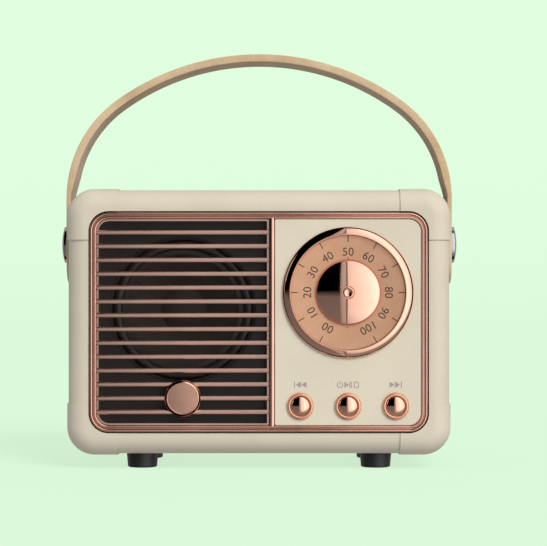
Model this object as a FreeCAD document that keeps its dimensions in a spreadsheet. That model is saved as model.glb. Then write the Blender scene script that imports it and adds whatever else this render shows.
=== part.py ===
import FreeCAD, Part
import math
import os
import re
import Sketcher

# A small tabletop radio with a carrying strap.
# The cabinet is modelled about its own centre: x to the right, y to the back, z up, and "forward" is a
# distance towards the front. Each piece is then placed so that the feet stand on z = 0 and the whole
# radio is centred in x and y.

document = FreeCAD.newDocument("tabletop_radio")

sizes = {
    # cabinet shell, in two halves that meet at the split
    "cabinet_width": 83.2,
    "cabinet_height": 57.5,
    "cabinet_depth": 40.0,
    "corner_radius": 5.8,
    "edge_radius": 3.9,
    "side_wall": 2.0,
    "front_wall": 2.2,
    "back_wall": 2.0,
    "split_depth": 27.5,
    "tongue_length": 2.0,
    "tongue_thickness": 1.0,
    "fit_gap": 0.1,
    # raised caps over the eight corners
    "cap_proud": 0.3,
    "cap_seat": 0.8,
    "cap_reach": 11.15,
    "cap_length": 12.4,
    # trim frame round the window, with two beads and a divider bar
    "trim_width": 73.7,
    "trim_height": 48.0,
    "trim_radius": 4.3,
    "outer_bead": 0.85,
    "bead_groove": 0.1,
    "inner_bead": 0.68,
    "outer_bead_proud": 0.6,
    "inner_bead_proud": 0.5,
    "groove_proud": 0.15,
    "bead_edge": 0.3,
    "divider_across": 2.85,
    "divider_width": 1.26,
    "window_gap": 0.05,
    # chassis plate behind the window
    "chassis_thickness": 1.5,
    "chassis_lap": 1.6,
    # grille
    "slat_count": 14,
    "slat_pitch": 3.0,
    "slat_height": 1.0,
    "slat_depth": 1.2,
    "slat_proud": 0.1,
    "slat_nose": 0.25,
    "grille_rim": 0.38,
    "grille_rim_drop": 0.5,
    # badge
    "badge_across": -16.5,
    "badge_up": -16.5,
    "badge_radius": 4.0,
    "badge_face_radius": 3.35,
    "badge_height": 1.1,
    "badge_bevel": 0.5,
    "peg_radius": 0.7,
    "peg_length": 1.2,
    # control panel and dial
    "panel_proud": 0.2,
    "dial_across": 19.35,
    "dial_up": 6.44,
    "bezel_radius": 14.2,
    "bezel_inner_radius": 12.48,
    "bezel_height": 1.4,
    "bezel_side": 0.5,
    "bezel_lip": 0.25,
    "bezel_crown": 3.0,
    "dial_thickness": 0.6,
    "pointer_gap": 0.08,
    "pointer_thickness": 0.2,
    "pointer_radius": 7.2,
    "pointer_tip": 7.75,
    "pointer_tip_width": 0.9,
    # knob, its pin and its shaft
    "knob_radius": 6.85,
    "knob_side": 0.42,
    "knob_height": 1.72,
    "knob_dome_radius": 9.5,
    "knob_dimple_radius": 1.45,
    "knob_dimple_depth": 0.25,
    "knob_hub_radius": 3.2,
    "hub_gap": 0.3,
    "shaft_radius": 2.0,
    "shaft_gap": 0.05,
    "shaft_reach": 0.4,
    "pin_radius": 0.8,
    "pin_head_radius": 1.2,
    "pin_reach": 3.3,
    "pin_dome": 0.5,
    "pin_depth": 1.5,
    "bushing_radius": 3.0,
    "bushing_length": 1.7,
    "control_width": 12.0,
    "control_depth": 6.0,
    # push buttons and their switches
    "button_pitch": 10.35,
    "button_up": -18.2,
    "button_radius": 2.05,
    "button_gap": 0.08,
    "button_side": 0.55,
    "button_height": 1.3,
    "button_dome_radius": 3.2,
    "button_flange_radius": 2.7,
    "button_flange": 0.6,
    "button_stem_radius": 1.2,
    "button_travel": 0.4,
    "ring_radius": 2.95,
    "ring_height": 0.7,
    "ring_edge": 0.3,
    "plunger_radius": 0.9,
    "plunger_length": 1.0,
    "plunger_root": 0.9,
    "switch_width": 4.6,
    "switch_height": 3.2,
    # control board behind the panel
    "board_thickness": 1.2,
    "board_drop": 6.7,
    "control_board_width": 30.0,
    "control_board_top": 15.0,
    "control_board_bottom": -21.5,
    "post_radius": 1.9,
    "post_span_width": 26.0,
    "post_top": 12.6,
    "post_bottom": -9.0,
    # small screws
    "screw_radius": 0.9,
    "screw_head_radius": 1.7,
    "screw_head": 1.0,
    "screw_length": 5.0,
    "drive_width": 0.5,
    "drive_depth": 0.5,
    # cover screws and their bosses
    "boss_across": 25.5,
    "boss_up": 20.6,
    "boss_radius": 2.6,
    "boss_length": 9.5,
    "boss_web": 1.6,
    "tube_radius": 3.2,
    "cover_screw_radius": 1.15,
    "cover_screw_hole": 1.35,
    "cover_head_radius": 2.1,
    "cover_head": 1.4,
    "cover_bore_radius": 2.4,
    "cover_seat": 3.7,
    "cover_screw_length": 10.5,
    # loudspeaker
    "speaker_across": -16.6,
    "speaker_up": 2.6,
    "speaker_radius": 18.0,
    "baffle_hole_radius": 16.0,
    "gasket_thickness": 0.6,
    "gasket_inner_radius": 16.4,
    "flange_inner_radius": 15.4,
    "flange_thickness": 0.8,
    "sheet_thickness": 0.6,
    "basket_depth": 10.4,
    "basket_foot_radius": 11.4,
    "surround_lip": 0.35,
    "surround_roll": 0.95,
    "cone_radius": 13.2,
    "cone_lip": 1.0,
    "cone_depth": 5.0,
    "cone_thickness": 0.4,
    "coil_radius": 5.0,
    "coil_thickness": 0.45,
    "coil_length": 7.4,
    "coil_gap": 0.35,
    "dust_cap_height": 1.9,
    "dust_cap_radius": 7.6,
    "spider_depth": 7.4,
    "spider_thickness": 0.3,
    "spider_radius": 10.9,
    "shelf_width": 0.8,
    "plate_radius": 11.0,
    "plate_thickness": 1.6,
    "magnet_radius": 10.6,
    "magnet_inner_radius": 6.4,
    "magnet_thickness": 3.5,
    "yoke_thickness": 1.6,
    "clamp_gap": 0.05,
    "clamp_post_radius": 1.15,
    # feet
    "foot_across": 25.7,
    "foot_back": 12.0,
    "foot_height": 3.3,
    "foot_top_radius": 3.46,
    "foot_bottom_radius": 3.23,
    "foot_edge": 0.6,
    "foot_stem_radius": 1.5,
    "foot_bulb_radius": 2.0,
    "foot_bulb": 1.4,
    # strap and its rivets
    "strap_thickness": 1.65,
    "strap_leg_thickness": 1.0,
    "strap_width": 12.5,
    "strap_gap": 0.15,
    "strap_pivot_drop": 11.7,
    "strap_end_drop": 8.7,
    "strap_spring_drop": 1.38,
    "strap_rise": 32.2,
    "strap_side_radius": 27.0,
    "strap_taper_start": 1.0,
    "strap_taper_end": 5.0,
    "strap_end_radius": 5.2,
    "rivet_radius": 2.0,
    "rivet_gap": 0.08,
    "rivet_side_gap": 0.05,
    "rivet_head_radius": 4.1,
    "rivet_rim": 0.95,
    "rivet_dome": 0.5,
    "rivet_edge": 0.35,
    "rivet_washer_radius": 3.8,
    "clip_radius": 3.6,
    "clip_thickness": 0.8,
    # main board, sockets and battery in the rear half
    "main_board_width": 44.0,
    "main_board_depth": 17.0,
    "main_board_across": -14.0,
    "main_board_up": -17.0,
    "main_post_radius": 2.0,
    "main_post_span": 39.0,
    "main_post_back": 12.0,
    "usb_across": -8.0,
    "usb_width": 8.9,
    "usb_height": 3.2,
    "usb_depth": 7.6,
    "usb_metal": 0.3,
    "usb_setback": 0.4,
    "usb_tongue": 0.7,
    "card_across": -24.0,
    "card_width": 13.0,
    "card_height": 1.9,
    "card_depth": 9.6,
    "card_metal": 0.3,
    "port_gap": 0.2,
    "battery_across": 24.5,
    "battery_width": 24.0,
    "battery_height": 30.0,
    "battery_thickness": 5.5,
    "battery_edge": 1.5,
    "pad_thickness": 0.6,
    "lead_radius": 0.4,
    "antenna_length": 44.0,
    "antenna_width": 5.0,
    "antenna_thickness": 0.2,
    "chip_width": 7.0,
    "chip_height": 1.0,
    "shield_width": 11.0,
    "shield_depth": 6.5,
    "shield_height": 2.0,
}

sheet = document.addObject("Spreadsheet::Sheet", "sizes")
for row, (alias, number) in enumerate(sizes.items(), start=1):
    sheet.set(f"A{row}", alias)
    sheet.set(f"B{row}", str(number))
    sheet.setAlias(f"B{row}", alias)
document.recompute()

pieces = []


def bound(text):
    """Turn plain size names into references to the spreadsheet."""
    return re.sub(r"[a-z][a-z_]*[a-z]", lambda word: "sizes." + word.group(), str(text))


def value(text):
    """Work out an expression of size names as a number."""
    return float(sheet.evalExpression(bound(text)))


# Expressions that several pieces share.
front = "(cabinet_depth / 2)"
half_width = "(cabinet_width / 2)"
half_height = "(cabinet_height / 2)"
split = f"({front} - split_depth)"
chassis_front = f"({front} - front_wall)"
chassis_back = f"({chassis_front} - chassis_thickness)"
board_front = f"({chassis_back} - board_drop)"
panel_front = f"({front} + panel_proud)"
dial_front = f"({panel_front} + dial_thickness)"
knob_base = f"({dial_front} + pointer_gap + pointer_thickness)"
shaft_end = f"({knob_base} + knob_side + shaft_reach)"
trim_rail = "(outer_bead + bead_groove + inner_bead)"
window_half_width = f"(trim_width / 2 - {trim_rail})"
window_half_height = f"(trim_height / 2 - {trim_rail})"
window_radius = f"(trim_radius - {trim_rail})"
divider_left = "(divider_across - divider_width / 2)"
divider_right = "(divider_across + divider_width / 2)"
boss_end = f"({split} + tongue_length + fit_gap)"
cabinet_shift = "((pin_reach - cap_proud) / 2)"
cabinet_rise = f"(foot_height + {half_height})"


def place(thing, across="0", back="0", up="0", turn=None):
    """Set a finished piece where it belongs and keep it for the parts folder."""
    if turn:
        thing.Placement = FreeCAD.Placement(FreeCAD.Vector(), turn)
    thing.setExpression("Placement.Base.x", bound(across))
    thing.setExpression("Placement.Base.y", bound(f"{cabinet_shift} + {back}"))
    thing.setExpression("Placement.Base.z", bound(f"{cabinet_rise} + {up}"))
    pieces.append(thing)
    return thing


def new_body(label):
    body = document.addObject("PartDesign::Body", label)
    body.Label = label
    return body


def new_sketch(body, plane, offset="0"):
    """Make a sketch on one of the body's own origin planes."""
    sketch = body.newObject("Sketcher::SketchObject", body.Label + "_sketch")
    support = [feature for feature in body.Origin.OriginFeatures if feature.Role == plane][0]
    sketch.AttachmentSupport = [(support, "")]
    sketch.MapMode = "FlatFace"
    sketch.setExpression("AttachmentOffset.Base.z", bound(offset))
    return sketch


def arc_between(start, end, radius, turn):
    """Give the shorter arc of a radius from start to end, anticlockwise when turn is 1."""
    chord = end - start
    side = FreeCAD.Vector(-chord.y, chord.x, 0).normalize()
    rise = math.sqrt(max(radius ** 2 - (chord.Length / 2) ** 2, 0))
    centre = (start + end) / 2 + side * rise * turn
    first, last = (start, end) if turn > 0 else (end, start)
    angles = [math.atan2(point.y - centre.y, point.x - centre.x) for point in (first, last)]
    circle = Part.Circle(centre, FreeCAD.Vector(0, 0, 1), radius)
    return Part.ArcOfCircle(circle, angles[0], angles[1])


def draw(sketch, corners):
    """Draw a closed outline: corner (x, y) after a side, or (x, y, radius, turn) after an arc."""
    places = [FreeCAD.Vector(value(corner[0]), value(corner[1]), 0) for corner in corners]
    first = sketch.GeometryCount
    ends = []
    for index, corner in enumerate(corners):
        start, end = places[index - 1], places[index]
        if len(corner) > 2:
            sketch.addGeometry(arc_between(start, end, value(corner[2]), corner[3]))
            ends.append((1, 2) if corner[3] > 0 else (2, 1))
        else:
            sketch.addGeometry(Part.LineSegment(start, end))
            ends.append((1, 2))
    for index, corner in enumerate(corners):
        side = first + index
        before = first + (index - 1) % len(corners)
        joint = (before, ends[index - 1][1], side, ends[index][0])
        sketch.addConstraint(Sketcher.Constraint("Coincident", *joint))
    for index, corner in enumerate(corners):
        hold(sketch, "DistanceX", first + index, ends[index][1], corner[0])
        hold(sketch, "DistanceY", first + index, ends[index][1], corner[1])
        if len(corner) > 2:
            number = sketch.addConstraint(Sketcher.Constraint("Radius", first + index, value(corner[2])))
            sketch.setExpression(f"Constraints[{number}]", bound(corner[2]))


def hold(sketch, kind, side, end, text):
    """Fix a point's distance from the sketch's origin, bound to the sizes."""
    number = sketch.addConstraint(Sketcher.Constraint(kind, -1, 1, side, end, value(text)))
    sketch.setExpression(f"Constraints[{number}]", bound(text))


def draw_circle(sketch, across, up, radius):
    centre = FreeCAD.Vector(value(across), value(up), 0)
    circle = sketch.addGeometry(Part.Circle(centre, FreeCAD.Vector(0, 0, 1), value(radius)))
    hold(sketch, "DistanceX", circle, 3, across)
    hold(sketch, "DistanceY", circle, 3, up)
    number = sketch.addConstraint(Sketcher.Constraint("Radius", circle, value(radius)))
    sketch.setExpression(f"Constraints[{number}]", bound(radius))


def draw_panel(sketch, left, right, bottom, top, left_radius, right_radius):
    """Draw a rectangle with one corner radius on the left and one on the right."""
    draw(sketch, [
        (f"{left} + {left_radius}", bottom, left_radius, 1),
        (f"{right} - {right_radius}", bottom),
        (right, f"{bottom} + {right_radius}", right_radius, 1),
        (right, f"{top} - {right_radius}"),
        (f"{right} - {right_radius}", top, right_radius, 1),
        (f"{left} + {left_radius}", top),
        (left, f"{top} - {left_radius}", left_radius, 1),
        (left, f"{bottom} + {left_radius}"),
    ])


def draw_frame(sketch, across, up, radius):
    """Draw a rounded rectangle centred on the sketch's origin from its half width and half height."""
    draw_panel(sketch, f"-({across})", f"({across})", f"-({up})", f"({up})", radius, radius)


def draw_box(sketch, left, right, bottom, top):
    draw(sketch, [(left, bottom), (right, bottom), (right, top), (left, top)])


def pad(body, sketch, length, backward=False, midplane=False):
    feature = body.newObject("PartDesign::Pad", body.Label + "_pad")
    feature.Profile = sketch
    feature.setExpression("Length", bound(length))
    feature.Reversed = backward
    feature.Midplane = midplane
    return feature


def pocket(body, sketch, length, forward=False):
    """Cut from the sketch's plane, against its normal unless forward is set."""
    feature = body.newObject("PartDesign::Pocket", body.Label + "_pocket")
    feature.Profile = sketch
    feature.setExpression("Length", bound(length))
    feature.Reversed = forward
    return feature


def round_edges(body, radius, chosen):
    """Round the edges of the body's last feature for which chosen(edge) holds."""
    document.recompute()
    base = body.Tip
    names = [f"Edge{number}" for number, edge in enumerate(base.Shape.Edges, start=1) if chosen(edge)]
    feature = body.newObject("PartDesign::Fillet", body.Label + "_rounding")
    feature.Base = (base, names)
    feature.setExpression("Radius", bound(radius))
    return feature


def lies_at(forward):
    """Choose edges that lie wholly in the plane at a distance forward."""
    depth = -value(forward)
    return lambda edge: edge.BoundBox.YLength < 1e-6 and abs(edge.BoundBox.YMin - depth) < 1e-4


def turned(label, corners):
    """Turn a profile of (radius, forward) corners about the front-to-back axis."""
    body = new_body(label)
    sketch = new_sketch(body, "XY_Plane")
    profile = [(corner[0], f"-({corner[1]})") + tuple(corner[2:]) for corner in corners]
    draw(sketch, profile)
    turn(body, sketch, "V_Axis")
    return body


def turn(body, sketch, axis):
    feature = body.newObject("PartDesign::Revolution", body.Label + "_turning")
    feature.Profile = sketch
    feature.ReferenceAxis = (sketch, [axis])
    feature.Angle = 360
    return feature


def block(label, low, high):
    """Make a Part box from two opposite corners."""
    box = document.addObject("Part::Box", label)
    for side, first, last in zip(("Length", "Width", "Height"), low, high):
        box.setExpression(side, bound(f"({last}) - ({first})"))
    for letter, first in zip("xyz", low):
        box.setExpression(f"Placement.Base.{letter}", bound(first))
    return box


def rod(label, radius, length, at, direction=(0, -1, 0)):
    """Make a Part cylinder from a point along a direction, forward unless told otherwise."""
    cylinder = document.addObject("Part::Cylinder", label)
    cylinder.setExpression("Radius", bound(radius))
    cylinder.setExpression("Height", bound(length))
    rotation = FreeCAD.Rotation(FreeCAD.Vector(0, 0, 1), FreeCAD.Vector(*direction))
    cylinder.Placement = FreeCAD.Placement(FreeCAD.Vector(), rotation)
    for letter, text in zip("xyz", at):
        cylinder.setExpression(f"Placement.Base.{letter}", bound(text))
    return cylinder


def boolean(kind, label, base, tool):
    result = document.addObject("Part::" + kind, label)
    result.Base = base
    result.Tool = tool
    result.Label = label
    return result


def joined(kind, label, members):
    """Join members as a Part::MultiFuse or keep them side by side as a Part::Compound."""
    result = document.addObject("Part::" + kind, label)
    if kind == "Compound":
        result.Links = members
    else:
        result.Shapes = members
    result.Label = label
    return result


# ---- cabinet ----


def rounded_form(label, growth):
    """The cabinet's outer form, grown or shrunk all round, as a tool for the corner caps."""
    body = new_body(label)
    sketch = new_sketch(body, "XZ_Plane")
    draw_frame(sketch, f"{half_width} + {growth}", f"{half_height} + {growth}", f"(corner_radius + {growth})")
    pad(body, sketch, f"cabinet_depth + 2 * ({growth})", midplane=True)
    ends = [lies_at(f"{front} + {growth}"), lies_at(f"-({front} + {growth})")]
    round_edges(body, f"edge_radius + {growth}", lambda edge: any(end(edge) for end in ends))
    return body


def build_front_shell(seats):
    body = new_body("front_shell_form")
    outline = new_sketch(body, "XZ_Plane", split)
    draw_frame(outline, half_width, half_height, "corner_radius")
    pad(body, outline, "split_depth")
    round_edges(body, "edge_radius", lies_at(front))
    hollow = new_sketch(body, "XZ_Plane", split)
    draw_frame(hollow, f"{half_width} - side_wall", f"{half_height} - side_wall",
               "(corner_radius - side_wall)")
    pocket(body, hollow, "split_depth - front_wall", forward=True)
    window = new_sketch(body, "XZ_Plane", front)
    draw_frame(window, "trim_width / 2 + fit_gap", "trim_height / 2 + fit_gap", "(trim_radius + fit_gap)")
    pocket(body, window, "2 * front_wall")
    for above in (1, -1):
        for side in (1, -1):
            web = new_sketch(body, "XZ_Plane", boss_end)
            low, high = sorted((f"{above} * boss_up", f"{above} * ({half_height} - side_wall / 2)"),
                               key=value)
            draw_box(web, f"{side} * boss_across - boss_web / 2",
                     f"{side} * boss_across + boss_web / 2", low, high)
            pad(body, web, "boss_length")
            boss = new_sketch(body, "XZ_Plane", boss_end)
            draw_circle(boss, f"{side} * boss_across", f"{above} * boss_up", "boss_radius")
            pad(body, boss, "boss_length")
    pilots = new_sketch(body, "XZ_Plane", boss_end)
    for above in (1, -1):
        for side in (1, -1):
            draw_circle(pilots, f"{side} * boss_across", f"{above} * boss_up", "cover_screw_radius")
    pocket(body, pilots, "boss_length - side_wall", forward=True)
    stems = new_sketch(body, "XY_Plane")
    for side in (1, -1):
        draw_circle(stems, f"{side} * foot_across", "-foot_back", "foot_stem_radius")
    pocket(body, stems, half_height)
    for side in (1, -1):
        rivet_hole = new_sketch(body, "YZ_Plane")
        draw_circle(rivet_hole, "0", f"{half_height} - strap_pivot_drop", "rivet_radius")
        pocket(body, rivet_hole, half_width, forward=side > 0)
    place(boolean("Cut", "front_shell", body, seats))


def build_rear_cover(seats):
    body = new_body("rear_cover_form")
    inset = "(side_wall + fit_gap + tongue_thickness)"
    depth = "(cabinet_depth - split_depth)"
    outline = new_sketch(body, "XZ_Plane", split)
    draw_frame(outline, half_width, half_height, "corner_radius")
    pad(body, outline, depth, backward=True)
    round_edges(body, "edge_radius", lies_at(f"-{front}"))
    tongue = new_sketch(body, "XZ_Plane", split)
    draw_frame(tongue, f"{half_width} - side_wall - fit_gap", f"{half_height} - side_wall - fit_gap",
               "(corner_radius - side_wall - fit_gap)")
    pad(body, tongue, "tongue_length")
    hollow = new_sketch(body, "XZ_Plane", f"{split} + tongue_length")
    draw_frame(hollow, f"{half_width} - {inset}", f"{half_height} - {inset}", f"(corner_radius - {inset})")
    pocket(body, hollow, f"{depth} + tongue_length - back_wall")
    for above in (1, -1):
        for side in (1, -1):
            tube = new_sketch(body, "XZ_Plane", f"-({front} - back_wall / 2)")
            draw_circle(tube, f"{side} * boss_across", f"{above} * boss_up", "tube_radius")
            pad(body, tube, f"{front} - back_wall / 2 + {boss_end}")
    through = new_sketch(body, "XZ_Plane", boss_end)
    counterbores = new_sketch(body, "XZ_Plane", f"{boss_end} - cover_seat")
    for above in (1, -1):
        for side in (1, -1):
            draw_circle(through, f"{side} * boss_across", f"{above} * boss_up", "cover_screw_hole")
            draw_circle(counterbores, f"{side} * boss_across", f"{above} * boss_up", "cover_bore_radius")
    pocket(body, through, "cabinet_depth")
    pocket(body, counterbores, "cabinet_depth")
    board_top = "(main_board_up + board_thickness)"
    ports = new_sketch(body, "XZ_Plane", f"-({front} - 2 * back_wall)")
    half_usb = "(usb_width / 2 + port_gap)"
    draw_panel(ports, f"(usb_across - {half_usb})", f"(usb_across + {half_usb})", f"({board_top} - port_gap)",
               f"({board_top} + usb_height + port_gap)", "(usb_height / 2)", "(usb_height / 2)")
    draw_box(ports, "card_across - card_width / 2 - port_gap", "card_across + card_width / 2 + port_gap",
             f"{board_top} - port_gap", f"{board_top} + card_height + port_gap")
    pocket(body, ports, "cabinet_depth")
    posts = new_sketch(body, "XY_Plane", f"-({half_height} - side_wall)")
    for side in (1, -1):
        draw_circle(posts, f"main_board_across + {side} * main_post_span / 2", "main_post_back",
                    "main_post_radius")
    pad(body, posts, f"{half_height} - side_wall + main_board_up")
    post_holes = new_sketch(body, "XY_Plane", "main_board_up")
    for side in (1, -1):
        draw_circle(post_holes, f"main_board_across + {side} * main_post_span / 2", "main_post_back",
                    "screw_radius")
    pocket(body, post_holes, "screw_length - board_thickness + fit_gap")
    stems = new_sketch(body, "XY_Plane")
    for side in (1, -1):
        draw_circle(stems, f"{side} * foot_across", "foot_back", "foot_stem_radius")
    pocket(body, stems, half_height)
    place(boolean("Cut", "rear_cover", body, seats))


def corner_block(label, side, above, rear):
    """The space of one corner, from the cap's inner limits out past the cabinet."""
    reach = f"({half_width} + cap_proud - cap_reach)"
    height = f"({half_height} + cap_proud - cap_reach)"
    depth = f"({front} + cap_proud - cap_length)"
    spans = []
    for sign, limit, outer in ((side, reach, half_width), (rear, depth, front), (above, height, half_height)):
        far = f"({outer} + 2 * cap_seat)"
        spans.append((limit, far) if sign > 0 else (f"-{far}", f"-{limit}"))
    return block(label, [span[0] for span in spans], [span[1] for span in spans])


def build_corner_caps():
    """Caps share one skin, between the seat form and the proud form, and differ in the corner they cover."""
    skin = boolean("Cut", "cap_skin", rounded_form("proud_form", "cap_proud"),
                   rounded_form("seat_form", "-cap_seat"))
    window = new_body("cap_window")
    sketch = new_sketch(window, "XZ_Plane")
    draw_frame(sketch, "trim_width / 2 + fit_gap", "trim_height / 2 + fit_gap", "(trim_radius + fit_gap)")
    pad(window, sketch, "cabinet_depth")
    front_skin = boolean("Cut", "front_cap_skin", skin, window)
    names = {(1, 1): "top_right", (-1, 1): "top_left", (1, -1): "bottom_right", (-1, -1): "bottom_left"}
    front_blocks, rear_blocks = [], []
    for (side, above), name in names.items():
        front_blocks.append(corner_block(f"front_{name}_block", side, above, -1))
        rear_blocks.append(corner_block(f"rear_{name}_block", side, above, 1))
        place(boolean("Common", f"front_cap_{name}", front_skin, front_blocks[-1]))
    rear_seats = boolean("Common", "rear_seats", skin, joined("MultiFuse", "rear_blocks", rear_blocks))
    front_seats = boolean("Common", "front_seats", front_skin,
                          joined("MultiFuse", "front_blocks", front_blocks))
    place(joined("Compound", "rear_corner_caps", [rear_seats]))
    return front_seats, rear_seats


def build_trim_frame():
    body = new_body("trim_frame")
    base = new_sketch(body, "XZ_Plane", chassis_front)
    draw_frame(base, "trim_width / 2", "trim_height / 2", "trim_radius")
    draw_panel(base, f"-{window_half_width}", divider_left, f"-{window_half_height}", window_half_height,
               window_radius, "bead_edge")
    draw_panel(base, divider_right, window_half_width, f"-{window_half_height}", window_half_height,
               "bead_edge", window_radius)
    pad(body, base, "front_wall + groove_proud")
    outer = new_sketch(body, "XZ_Plane", f"{front} + groove_proud")
    draw_frame(outer, "trim_width / 2", "trim_height / 2", "trim_radius")
    draw_frame(outer, "trim_width / 2 - outer_bead", "trim_height / 2 - outer_bead",
               "(trim_radius - outer_bead)")
    pad(body, outer, "outer_bead_proud - groove_proud")
    inner = new_sketch(body, "XZ_Plane", f"{front} + groove_proud")
    draw_frame(inner, f"{window_half_width} + inner_bead", f"{window_half_height} + inner_bead",
               f"({window_radius} + inner_bead)")
    draw_panel(inner, f"-{window_half_width}", divider_left, f"-{window_half_height}", window_half_height,
               window_radius, "bead_edge")
    draw_panel(inner, divider_right, window_half_width, f"-{window_half_height}", window_half_height,
               "bead_edge", window_radius)
    pad(body, inner, "inner_bead_proud - groove_proud")
    tops = [lies_at(f"{front} + outer_bead_proud"), lies_at(f"{front} + inner_bead_proud")]
    round_edges(body, "bead_edge", lambda edge: any(top(edge) for top in tops))
    place(body)


def build_chassis():
    """Plate behind the window: it closes the front, and carries the speaker and the control board."""
    body = new_body("chassis")
    plate = new_sketch(body, "XZ_Plane", chassis_back)
    draw_frame(plate, "trim_width / 2 + chassis_lap", "trim_height / 2 + chassis_lap",
               "(trim_radius - fit_gap)")
    draw_circle(plate, "speaker_across", "speaker_up", "baffle_hole_radius")
    draw_circle(plate, "dial_across", "dial_up", "knob_hub_radius + 2 * hub_gap")
    for step in (-1, 0, 1):
        draw_circle(plate, f"dial_across + {step} * button_pitch", "button_up",
                    "button_flange_radius + hub_gap")
    for across, up in clamp_places():
        draw_circle(plate, across, up, "screw_radius / 2")
    pad(body, plate, "chassis_thickness")
    posts = new_sketch(body, "XZ_Plane", board_front)
    for side in (1, -1):
        for up in ("post_top", "post_bottom"):
            draw_circle(posts, f"dial_across + {side} * post_span_width / 2", up, "post_radius")
            draw_circle(posts, f"dial_across + {side} * post_span_width / 2", up, "screw_radius")
    pad(body, posts, "board_drop")
    clamps = new_sketch(body, "XZ_Plane", f"{chassis_back} - gasket_thickness - flange_thickness")
    for across, up in clamp_places():
        draw_circle(clamps, across, up, "clamp_post_radius")
        draw_circle(clamps, across, up, "screw_radius / 2")
    pad(body, clamps, "gasket_thickness + flange_thickness")
    place(body)


def clamp_places():
    """The four diagonal points round the speaker where its screws sit."""
    reach = f"(speaker_radius + clamp_post_radius + clamp_gap) * {math.sqrt(0.5):.6f}"
    return [(f"speaker_across + {side} * {reach}", f"speaker_up + {above} * {reach}")
            for side in (1, -1) for above in (1, -1)]


# ---- grille and badge ----


def build_grille():
    body = new_body("grille")
    left, right = f"(-{window_half_width} + window_gap)", f"({divider_left} - window_gap)"
    top = f"({window_half_height} - window_gap)"
    radius = f"({window_radius} - window_gap)"
    rim = new_sketch(body, "XZ_Plane", chassis_front)
    draw_panel(rim, left, right, f"-{top}", top, radius, "bead_edge")
    draw_panel(rim, f"({left} + grille_rim)", f"({right} - grille_rim)", f"-({top} - grille_rim)",
               f"({top} - grille_rim)", f"({radius} - grille_rim)", "(bead_edge / 2)")
    pad(body, rim, "front_wall - grille_rim_drop")
    slat = new_sketch(body, "YZ_Plane", left)
    nose, tail = f"-({front} + slat_proud - slat_nose)", f"-({front} + slat_proud - slat_depth)"
    first = "-slat_pitch * (slat_count - 1) / 2"
    low, high = f"{first} - slat_height / 2", f"{first} + slat_height / 2"
    bow = "(slat_nose / 2 + slat_height * slat_height / (8 * slat_nose))"
    draw(slat, [(tail, low), (tail, high), (nose, high), (nose, low, bow, 1)])
    bar = pad(body, slat, f"{right} - {left}")
    pattern = body.newObject("PartDesign::LinearPattern", "grille_slats")
    pattern.Originals = [bar]
    pattern.Direction = (slat, ["V_Axis"])
    pattern.setExpression("Length", bound("slat_pitch * (slat_count - 1)"))
    pattern.setExpression("Occurrences", bound("slat_count"))
    body.Tip = pattern
    for above in (1, -1):
        rail = new_sketch(body, "XZ_Plane", f"{front} - grille_rim_drop")
        low, high = sorted((f"{above} * ({top} - grille_rim)", f"{above} * {top}"), key=value)
        draw_box(rail, f"{left} + {radius}", f"{right} - bead_edge", low, high)
        pad(body, rail, "grille_rim_drop + slat_proud")
    place(body)


def build_badge():
    """Blank round badge with a bevelled edge and two pegs that pass between slats."""
    base = f"({front} + slat_proud)"
    body = turned("badge", [
        ("0", base), ("badge_radius", base), ("badge_radius", f"{base} + badge_height - badge_bevel"),
        ("badge_face_radius", f"{base} + badge_height"), ("0", f"{base} + badge_height")])
    pegs = new_sketch(body, "XZ_Plane", base)
    for above in (1, -1):
        draw_circle(pegs, "0", f"{above} * slat_pitch / 2", "peg_radius")
    pad(body, pegs, "peg_length", backward=True)
    place(body, "badge_across", "0", "badge_up")


# ---- control panel, dial and knob ----


def build_control_panel():
    body = new_body("control_panel")
    sketch = new_sketch(body, "XZ_Plane", chassis_front)
    top = f"({window_half_height} - window_gap)"
    draw_panel(sketch, f"({divider_right} + window_gap)", f"({window_half_width} - window_gap)",
               f"-{top}", top, "bead_edge", f"({window_radius} - window_gap)")
    draw_circle(sketch, "dial_across", "dial_up", "knob_hub_radius + hub_gap")
    for step in (-1, 0, 1):
        draw_circle(sketch, f"dial_across + {step} * button_pitch", "button_up", "button_radius + button_gap")
    pad(body, sketch, "front_wall + panel_proud")
    place(body)


def build_dial():
    """Bezel with a crowned slope that falls outwards, and the dial face inside it."""
    place(turned("dial_bezel", [
        ("bezel_inner_radius", panel_front), ("bezel_radius", panel_front),
        ("bezel_radius", f"{panel_front} + bezel_side"),
        ("bezel_inner_radius + bezel_lip", f"{panel_front} + bezel_height", "bezel_crown", -1),
        ("bezel_inner_radius", f"{panel_front} + bezel_height")]), "dial_across", "0", "dial_up")
    place(turned("dial_face", [
        ("knob_hub_radius + hub_gap", panel_front), ("bezel_inner_radius", panel_front),
        ("bezel_inner_radius", dial_front), ("knob_hub_radius + hub_gap", dial_front)]),
        "dial_across", "0", "dial_up")


def build_pointer_ring():
    """Thin ring behind the knob's dome with a small tip above and another below."""
    body = new_body("pointer_ring")
    base = f"{dial_front} + pointer_gap"
    washer = new_sketch(body, "XZ_Plane", base)
    draw_circle(washer, "0", "0", "pointer_radius")
    draw_circle(washer, "0", "0", "knob_hub_radius")
    pad(body, washer, "pointer_thickness")
    for above in (1, -1):
        tip = new_sketch(body, "XZ_Plane", base)
        root = f"{above} * (pointer_radius - pointer_tip_width / 2)"
        draw(tip, [("-pointer_tip_width / 2", root), ("pointer_tip_width / 2", root),
                   ("0", f"{above} * pointer_tip")])
        pad(body, tip, "pointer_thickness")
    place(body, "dial_across", "0", "dial_up")


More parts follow.
